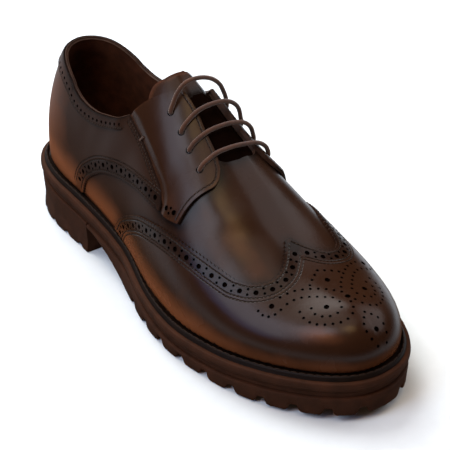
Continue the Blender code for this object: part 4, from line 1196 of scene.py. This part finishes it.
# Lace: four bars through the holes of the facings, and the runs that link them behind
laceLook = {"radius": 1.32, "strand": 0.05, "sides": 14, "step": 0.4, "dip": 1.5, "sunk": 4.6,
            "uprightRise": 0.97}
laceLink = {"radius": 0.8, "sides": 8, "step": 0.8, "points": 9, "lift": -4.3, "below": 0.014}
linkRoutes = (((3, 2), -1), ((3, 1), 1), ((2, 0), 1), ((1, 0), -1))  # rows that are joined behind, side
laceBars = (  # share of the way across, height in mm over the straight line between the two holes
    ((0.005, 5.5), (0.035, 12.0), (0.13, 17.8), (0.28, 20.2), (0.46, 20.6), (0.61, 19.3), (0.76, 16.0),
     (0.87, 11.3), (0.96, 6.0)),
    ((0.02, 3.4), (0.07, 6.6), (0.16, 11.0), (0.30, 14.4), (0.45, 16.2), (0.62, 16.9), (0.76, 15.6),
     (0.88, 12.2), (0.96, 6.6)),
    ((0.035, 3.3), (0.12, 6.9), (0.23, 10.1), (0.36, 12.0), (0.50, 13.2), (0.65, 13.5), (0.79, 12.6),
     (0.90, 9.6), (0.97, 5.0)),
    ((0.035, 3.1), (0.12, 6.3), (0.23, 9.0), (0.35, 10.2), (0.48, 10.9), (0.63, 10.9), (0.78, 10.4),
     (0.89, 8.4), (0.97, 5.0)),
)
laceParts = []
laceLength = 0.0
for row, bar in zip(laceHoles, laceBars):
    turns = np.array([float(turnAt(row[0], -1)), float(turnAt(row[0], 1))])
    rises = np.array(row[1:])
    start, stop = skin(turns, rises, layers["facing"])
    outs = surfaceNormal(turns, rises)
    across = stop - start
    upright = skin(turns[0], laceLook["uprightRise"], layers["facing"]) - start
    upright = upright - across * (upright @ across) / (across @ across)
    upright = upright / np.linalg.norm(upright)
    route = [start - outs[0] * laceLook["sunk"], start - outs[0] * laceLook["dip"], start]
    route += [start + across * share + upright * height for share, height in bar]
    route += [stop, stop - outs[1] * laceLook["dip"], stop - outs[1] * laceLook["sunk"]]
    path = smoothRoute(route, laceLook["step"])
    points, faces, length = tube(path, laceLook["radius"], laceLook["sides"], laceLook["strand"])
    laceParts.append((points, faces))
    laceLength += length
for rows, side in linkRoutes:
    column = 1 if side < 0 else 2
    ends = [laceHoles[i] for i in rows]
    alongs = np.linspace(ends[0][0], ends[1][0], laceLink["points"])
    rises = np.linspace(ends[0][column], ends[1][column], laceLink["points"]) - laceLink["below"]
    path = smoothRoute(skin(turnAt(alongs, side), rises, laceLink["lift"]), laceLink["step"])
    points, faces, length = tube(path, laceLink["radius"], laceLink["sides"])
    laceParts.append((points, faces))
    laceLength += length
lacePoints, laceFaces = gather(laceParts)
lacePiece = addPiece("lace", lacePoints, laceFaces, ("lace",), sharpDeg=60)
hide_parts("lace_bar_1", "lace_bar_2", "lace_bar_3", "lace_bar_4")
print("lace laid:", round(laceLength), "mm")

# Piping along the topline
pipingLook = {"radius": 0.45, "sides": 10, "step": 1.5, "lift": -0.5, "above": 0.1}
pipingParts = []
for side in (-1, 1):
    line = trace(topline, side, pipingLook["step"])
    path = skin(line[:, 0], line[:, 1], pipingLook["lift"]) + np.array([0, 0, pipingLook["above"]])
    pipingParts.append(tube(path, pipingLook["radius"], pipingLook["sides"])[:2])
pipingPoints, pipingFaces = gather(pipingParts)
pipingPiece = addPiece("collarPiping", pipingPoints, pipingFaces, ("cutEdge",), sharpDeg=60)

# Seams
tackLook = {"share": 0.72, "reach": 1.7, "strands": 2, "gap": 0.75, "radius": 0.38, "sides": 8, "points": 7,
            "step": 0.5, "lift": 0.1}
tackLine = stepped(trace(seam, -1), tackLook["step"])
tackMiddle = int(len(tackLine) * tackLook["share"])
tackParts = []
for k in range(tackLook["strands"]):
    spot = tackLine[tackMiddle + int(k * tackLook["gap"] / tackLook["step"]):][:2]
    offsets = np.linspace(-1, 1, tackLook["points"]) * tackLook["reach"]
    ends = np.concatenate([beside(spot, offset)[:1] for offset in offsets])
    path = skin(ends[:, 0], ends[:, 1], layers["quarter"] + tackLook["lift"])
    tackParts.append(tube(path, tackLook["radius"], tackLook["sides"])[:2])
tackPiece = addPiece("seamBartack", *gather(tackParts), ("lace",), sharpDeg=60)
threadLook = {"radius": 0.27, "pitch": 2.3, "share": 0.82}
threadPoints, threadFaces = stitchMesh(threadLines, threadLook["radius"], threadLook["pitch"],
                                       threadLook["share"])
threadPiece = addPiece("upperStitching", threadPoints, threadFaces, ("thread",), sharpDeg=60)
print("stitched:", len(threadFaces), "faces")

# Sole unit
soleLook = {"bandTop": 1.5, "bandDepth": 6.0, "recessDepth": 4.0, "layerGap": 0.3, "flatEnd": 210.0,
            "toeSpring": 6.1, "springRun": 80.0, "lugPitch": 19.5, "lugNotch": 5.5, "lugDepth": 4.5,
            "lugRing": 17.0, "lugStart": 122.0, "lugRampFrom": 112, "lugRamp": 14, "waistSections": 20,
            "heelBreast": 73.0, "breastGap": 1.2, "heelPitch": 16.0, "heelNotch": 4.0, "heelLug": 2.4}
# Round shoulder of a lug: mm past the notch's edge, share of the lug's full depth
lugShoulder = ((-2.8, 1), (-1.8, 0.95), (-1.0, 0.83), (-0.3, 0.58), (0.3, 0.24), (0.9, 0))
# Waist of the sole: along, height over the floor
waistRows = np.array(((70, 20.0), (78, 18.6), (97, 11.5), (110, 5.5), (120, 1.4), (126, 0.0), (130, 0.0)))


def soleStack(name, stations, levels, surface, sharpDeg=32):  # levels: past the feather line, height
    rearShared = stations[0] == 0
    frontShared = stations[-1] == 3
    count = len(stations)
    points = []
    index = np.zeros((len(levels), 2, count), int)
    for j, (offset, height) in enumerate(levels):
        heights = np.broadcast_to(height, count)
        for side in (0, 1):
            x, y = outlineAt(stations if side == 0 else 6 - stations, offset)
            for i in range(count):
                shared = (i == 0 and rearShared) or (i == count - 1 and frontShared)
                if side == 1 and shared:
                    index[j, 1, i] = index[j, 0, i]
                    continue
                index[j, side, i] = len(points)
                points.append((x[i], y[i], heights[i]))
    faces = []
    for j in range(len(levels) - 1):
        for i in range(count - 1):
            faces.append((index[j, 0, i], index[j + 1, 0, i], index[j + 1, 0, i + 1], index[j, 0, i + 1]))
            faces.append((index[j, 1, i + 1], index[j + 1, 1, i + 1], index[j + 1, 1, i], index[j, 1, i]))
        if not rearShared:
            faces.append((index[j, 1, 0], index[j + 1, 1, 0], index[j + 1, 0, 0], index[j, 0, 0]))
        if not frontShared:
            faces.append((index[j, 0, -1], index[j + 1, 0, -1], index[j + 1, 1, -1], index[j, 1, -1]))
    for j, flip in ((0, False), (len(levels) - 1, True)):
        for i in range(count - 1):
            ring = [index[j, 0, i], index[j, 0, i + 1], index[j, 1, i + 1], index[j, 1, i]]
            ring = list(dict.fromkeys(int(k) for k in ring))
            faces.append(tuple(ring if not flip else reversed(ring)))
    return addPiece(name, np.array(points), faces, (surface,), sharpDeg=sharpDeg)


def notchedStations(startTurn, endTurn, pitch, notch):
    fine = np.linspace(startTurn, endTurn, samples["soleRun"])
    x, y = outlineAt(fine, soleEdge(place(fine)[0]))
    run = np.concatenate([[0], np.cumsum(np.hypot(np.diff(x), np.diff(y)))])
    count = int(run[-1] // pitch)
    first = (run[-1] - (count - 1) * pitch) / 2
    places = []
    for i in range(count):
        middle = first + i * pitch
        for inward, lug in lugShoulder:
            places += [(middle - notch / 2 + inward, lug), (middle + notch / 2 - inward, lug)]
        places += [(middle, 0), (middle + pitch / 2, 1)]
    margin = 0.4
    places = sorted((at, lug) for at, lug in places if margin < at < run[-1] - margin)
    return np.interp([p[0] for p in places], run, fine), np.array([p[1] for p in places])


bandFoot = soleLook["bandTop"] + soleLook["bandDepth"]
recessFoot = bandFoot + soleLook["recessDepth"]
alongFull = place(halfTurns)[0]
featherFull = section("feather", alongFull)
edgeFull = soleEdge(alongFull)
# Midsole side: mm past the sole's edge, mm below the feather line
bandProfile = ((-0.7, 1.45), (-0.25, 1.5), (0.1, 1.75), (0.4, 2.3), (0.62, 3.3), (0.68, 4.4), (0.55, 5.6),
               (0.2, 6.7), (-0.35, 7.4), (-1.0, 7.85), (-1.4, 8.5), (-1.6, 9.4), (-1.7, 10.6), (-1.7, 11.5))
bandInside = -3.0
bandLevels = [(bandInside, featherFull - soleLook["bandTop"])]
bandLevels += [(edgeFull + offset, featherFull - drop) for offset, drop in bandProfile]
bandPiece = soleStack("midsoleBand", halfTurns, bandLevels, "rubber")
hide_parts("midsole")

treadTurns, treadLugs = notchedStations(float(turnAt(soleLook["lugStart"], -1)), 3.0, soleLook["lugPitch"],
                                        soleLook["lugNotch"])
waistStart = soleLook["heelBreast"] + soleLook["breastGap"]
waistTurns = turnAt(np.linspace(waistStart, soleLook["lugStart"], soleLook["waistSections"]), -1)
treadTurns = np.concatenate([waistTurns, treadTurns, [3.0]])
treadLugs = np.concatenate([np.ones(len(waistTurns)), treadLugs, [1]])
alongTread = place(treadTurns)[0]
edgeTread = soleEdge(alongTread)
pastFlat = np.clip(alongTread - soleLook["flatEnd"], 0, None)
spring = soleLook["toeSpring"] * (pastFlat / soleLook["springRun"]) ** 2
ground = hermite(waistRows[:, 0], waistRows[:, 1], alongTread) + spring
ceiling = section("feather", alongTread) - recessFoot - soleLook["layerGap"]
lugRamp = np.clip((alongTread - soleLook["lugRampFrom"]) / soleLook["lugRamp"], 0, 1)
hollow = ground + soleLook["lugDepth"] * lugRamp
foot = ground + (hollow - ground) * (1 - treadLugs)
treadLevels = [  # rounded top edge, side, rounded foot, then in under the lugs
    (edgeTread - 1.9, ceiling), (edgeTread - 1.0, ceiling - 0.05), (edgeTread - 0.35, ceiling - 0.3),
    (edgeTread + 0.0, ceiling - 0.9), (edgeTread + 0.1, ceiling - 1.8),
    (edgeTread - 0.3, foot + 1.2), (edgeTread - 0.55, foot + 0.5), (edgeTread - 1.0, foot),
    (edgeTread - soleLook["lugRing"], foot), (edgeTread - soleLook["lugRing"] - 0.6, foot + 0.4 * treadLugs),
    (edgeTread - soleLook["lugRing"] - 1.5, hollow + 0.02),
]
treadPiece = soleStack("lugTread", treadTurns, treadLevels, "rubber")
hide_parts("outsole")

breastTurn = float(turnAt(soleLook["heelBreast"], -1))
heelTurns, heelLugs = notchedStations(0.0, breastTurn, soleLook["heelPitch"], soleLook["heelNotch"])
heelTurns = np.concatenate([[0.0], heelTurns, [breastTurn]])
heelLugs = np.concatenate([[1], heelLugs, [1]])
alongHeel = place(heelTurns)[0]
edgeHeel = soleEdge(alongHeel)
heelTop = section("feather", alongHeel) - recessFoot - soleLook["layerGap"]
heelFoot = soleLook["heelLug"] * (1 - heelLugs)
heelLevels = [  # rounded top edge, hollowed side, rounded foot, then in under the lugs
    (edgeHeel - 1.9, heelTop), (edgeHeel - 0.9, heelTop - 0.1), (edgeHeel - 0.3, heelTop - 0.7),
    (edgeHeel - 0.4, heelTop - 2.5), (edgeHeel - 0.9, 0.62 * heelTop), (edgeHeel - 1.2, 0.4 * heelTop),
    (edgeHeel - 0.8, 0.2 * heelTop + heelFoot * 0.5), (edgeHeel - 0.4, heelFoot + 1.0),
    (edgeHeel - 0.6, heelFoot + 0.3), (edgeHeel - 1.1, heelFoot),
    (edgeHeel - 13.0, heelFoot), (edgeHeel - 14.0, soleLook["heelLug"] + 0.02),
]
heelPiece = soleStack("heelBlock", heelTurns, heelLevels, "rubber")
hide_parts("heel")

# Insole board and sock
insoleProfile = ((-6.0, 3.4), (-5.0, 3.3), (-4.6, 2.9), (-4.6, 0.7))  # mm past and above the feather line
insoleLevels = [(offset, featherFull + rise) for offset, rise in insoleProfile]
insolePiece = soleStack("sockInsole", halfTurns, insoleLevels, "lining")
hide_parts("insole")


# Welt: a raised rib in a channel, stitched through, its near-black colour partly painted shade; mm past and
# above the feather line
weltLook = {"ribAt": 2.9, "innerTo": 1.35, "fullEdge": 6.5, "threadRise": 1.3, "pitch": 4.6, "radius": 0.4,
            "share": 0.74, "sides": 8}
weltProfile = ((-8.0, -1.2), (-8.0, -0.4), (1.3, -0.4), (1.6, -0.3), (1.9, 0.5), (2.3, 1.05), (2.9, 1.25),
               (3.5, 1.0), (3.9, 0.4), (4.15, -0.5), (4.6, -1.2))
# A welt stitch: along it, radii above the row
weltStitch = ((-0.5, -0.7), (-0.36, -0.15), (-0.15, 0.0), (0.15, 0.0), (0.36, -0.15), (0.5, -0.7))


def weltEdge(turns, offset):  # outside the crease the welt narrows with the sole at the waist
    return offset + soleEdge(place(turns)[0]) - weltLook["fullEdge"]


def ringSweep(profile):
    along = place(allTurns)[0]
    height = section("feather", along)
    points = []
    for offset, rise in profile:
        x, y = outlineAt(allTurns, offset if offset < weltLook["innerTo"] else weltEdge(allTurns, offset))
        points.append(np.stack([x, y, height + rise], -1))
    count = len(allTurns)
    faces = []
    for j in range(len(profile)):
        k = (j + 1) % len(profile)
        for i in range(count):
            n = (i + 1) % count
            faces.append((j * count + i, k * count + i, k * count + n, j * count + n))
    return np.concatenate(points), faces


weltPoints, weltFaces = ringSweep(weltProfile)
weltPiece = addPiece("stormWelt", weltPoints, weltFaces, ("welt",))
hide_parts("welt")

ribTurns = np.linspace(0, 6, samples["rib"])
ribX, ribY = outlineAt(ribTurns, weltEdge(ribTurns, weltLook["ribAt"]))
ribRun = np.concatenate([[0], np.cumsum(np.hypot(np.diff(ribX), np.diff(ribY)))])
ribCount = int(ribRun[-1] / weltLook["pitch"])
ribAt = np.interp((np.arange(ribCount) + 0.5) * ribRun[-1] / ribCount, ribRun, ribTurns)
stitchX, stitchY = outlineAt(ribAt, weltEdge(ribAt, weltLook["ribAt"]))
ribCentre = np.stack([stitchX, stitchY, section("feather", place(ribAt)[0]) + weltLook["threadRise"]], -1)
ribDirection = np.roll(ribCentre, -1, axis=0) - np.roll(ribCentre, 1, axis=0)
ribDirection /= np.linalg.norm(ribDirection, axis=1)[:, None]
stitchShape = np.array(weltStitch)
reach = stitchShape[:, 0] * weltLook["pitch"] * weltLook["share"]
sink = stitchShape[:, 1] * weltLook["radius"]
weltParts = []
for centre, direction in zip(ribCentre, ribDirection):
    path = centre + direction * reach[:, None] + np.array([0, 0, 1.0]) * sink[:, None]
    weltParts.append(tube(path, weltLook["radius"], weltLook["sides"])[:2])
weltThreadPoints, weltThreadFaces = gather(weltParts)
weltThread = addPiece("weltStitching", weltThreadPoints, weltThreadFaces, ("weltThread",), sharpDeg=60)
print("sole built")

# Floor, light and camera
# Uncoated studio paper: matt grey that the lights bring up to white, so that only the shoe's shadow shows
paperLook = {"half": 4, "low": "#BAC2C7", "high": "#BDC5CA", "flecks": 900.0}  # flecks across the sheet
half = paperLook["half"]
floorMesh = bpy.data.meshes.new("paperSweep")
floorMesh.from_pydata([(-half, -half, 0), (half, -half, 0), (half, half, 0), (-half, half, 0)], [],
                      [(0, 1, 2, 3)])
paper, paperTree, paperShader = newMaterial("studioPaperMatt", {"Roughness": 0.9, "Specular IOR Level": 0.1})
fibre = addNode(paperTree, "ShaderNodeTexNoise", {"Scale": paperLook["flecks"], "Detail": 2.0})
paperTone = ramp(addNode(paperTree, "ShaderNodeValToRGB", {}, {"Fac": fibre.outputs["Fac"]}),
                 ((0.3, paperLook["low"]), (0.7, paperLook["high"])))
paperTree.links.new(paperTone.outputs["Color"], paperShader.inputs["Base Color"])
floorMesh.materials.append(paper)
floor = bpy.data.objects.new("paperSweep", floorMesh)
bpy.context.scene.collection.objects.link(floor)
floor.visible_glossy = False  # the gloss mirrors the dim warm room and not the bright paper

# A dim room, from straight down at 0 to straight up at 1: warm boards below, a pale far floor, brown walls
roomLook = {"strength": 1.75,
            "tones": ((0.22, "#593B26"), (0.26, "#685244"), (0.36, "#E7EFF8"), (0.40, "#E7EFF8"),
                      (0.48, "#696C6E"), (0.56, "#4D3725"))}
world = bpy.data.worlds.new("studio")
bpy.context.scene.world = world
world.use_nodes = True
roomTree = world.node_tree
toward = addNode(roomTree, "ShaderNodeTexCoord")
split = addNode(roomTree, "ShaderNodeSeparateXYZ", {}, {"Vector": toward.outputs["Generated"]})
level = addNode(roomTree, "ShaderNodeMapRange", {1: -1.0, 2: 1.0}, {0: split.outputs["Z"]})
roomTone = addNode(roomTree, "ShaderNodeValToRGB", {}, {"Fac": level.outputs["Result"]})
ramp(roomTone, roomLook["tones"])
roomTree.links.new(roomTone.outputs["Color"], roomTree.nodes["Background"].inputs["Color"])
roomTree.nodes["Background"].inputs["Strength"].default_value = roomLook["strength"]

lightAim = Vector((0, 0, 0.05))
studioLights = (
    # name, place in metres from the shoe's middle, width, height, power, colour
    ("overheadSoftbox", (-0.19, -0.54, 1.44), 0.40, 0.30, 3.4, "#FFD08C"),
    ("lateralSoftbox", (-1.07, 0.04, 0.97), 0.60, 0.72, 11.5, "#DCE8FF"),
    ("sideStrip", (-1.29, 0.10, 0.54), 0.5, 0.25, 1.9, "#86B4FF"),
    ("frontPanel", (0.93, -0.38, 0.97), 1.1, 0.9, 11.0, "#F2EEF0"),
    ("rearSoftbox", (0.0, 0.88, 1.2), 1.3, 1.1, 42.0, "#FFFDFA"),
    ("ceilingSoftbox", (-0.2, -0.05, 1.45), 1.0, 1.0, 7.0, "#FFF6EC"),
    ("toeGlow", (-0.81, -0.35, 1.06), 0.22, 0.22, 1.4, "#FFA030"),
    ("keySoftbox", (-0.68, -0.17, 1.21), 0.40, 0.32, 4.1, "#E4EEFF"),
)
for name, spot, width, height, power, colour in studioLights:
    lamp = bpy.data.lights.new(name, "AREA")
    lamp.shape = "RECTANGLE"
    lamp.size = width
    lamp.size_y = height
    lamp.energy = power
    lamp.color = linearColour(colour)[:3]
    holder = bpy.data.objects.new(name, lamp)
    holder.location = spot
    holder.rotation_euler = (lightAim - Vector(spot)).to_track_quat("-Z", "Y").to_euler()
    bpy.context.scene.collection.objects.link(holder)

# The photograph's view of the shoe, re-aimed at its middle and drawn larger
view = {"azimuth": -41.245, "elevation": 34.218, "roll": 1.792, "distance": 856.965, "focalPx": 1333.466,
        "target": (7.766, -194.498, 79.168), "framePx": 450.0, "centrePx": (184.0, 238.5), "enlarge": 1.15,
        "sensorMm": 36.0, "nearest": 0.05}
a, e, r = (math.radians(view[key]) for key in ("azimuth", "elevation", "roll"))
back = Vector((math.sin(a) * math.cos(e), -math.cos(a) * math.cos(e), math.sin(e)))
right = Vector((math.cos(a), math.sin(a), 0))
up = back.cross(right)
camRight = right * math.cos(r) + up * math.sin(r)
camUp = -right * math.sin(r) + up * math.cos(r)
spot = Vector(toWorld(np.array(view["target"]) + np.array(back) * view["distance"]))
aimRight, aimDown = (px - view["framePx"] / 2 for px in view["centrePx"])
aim = -back * view["focalPx"] + camRight * aimRight - camUp * aimDown
newBack = -aim.normalized()
newRight = camUp.cross(newBack).normalized()
newUp = newBack.cross(newRight)
camera = bpy.data.cameras.new("photoView")
camera.sensor_fit = "HORIZONTAL"
camera.sensor_width = view["sensorMm"]
camera.lens = view["sensorMm"] * view["focalPx"] / view["framePx"] * view["enlarge"]
camera.clip_start = view["nearest"]
cameraObject = bpy.data.objects.new("photoView", camera)
cameraObject.matrix_world = Matrix((
    (newRight.x, newUp.x, newBack.x, spot.x), (newRight.y, newUp.y, newBack.y, spot.y),
    (newRight.z, newUp.z, newBack.z, spot.z), (0, 0, 0, 1)))
bpy.context.scene.collection.objects.link(cameraObject)
bpy.context.scene.camera = cameraObject
bpy.context.scene.view_settings.view_transform = "Standard"
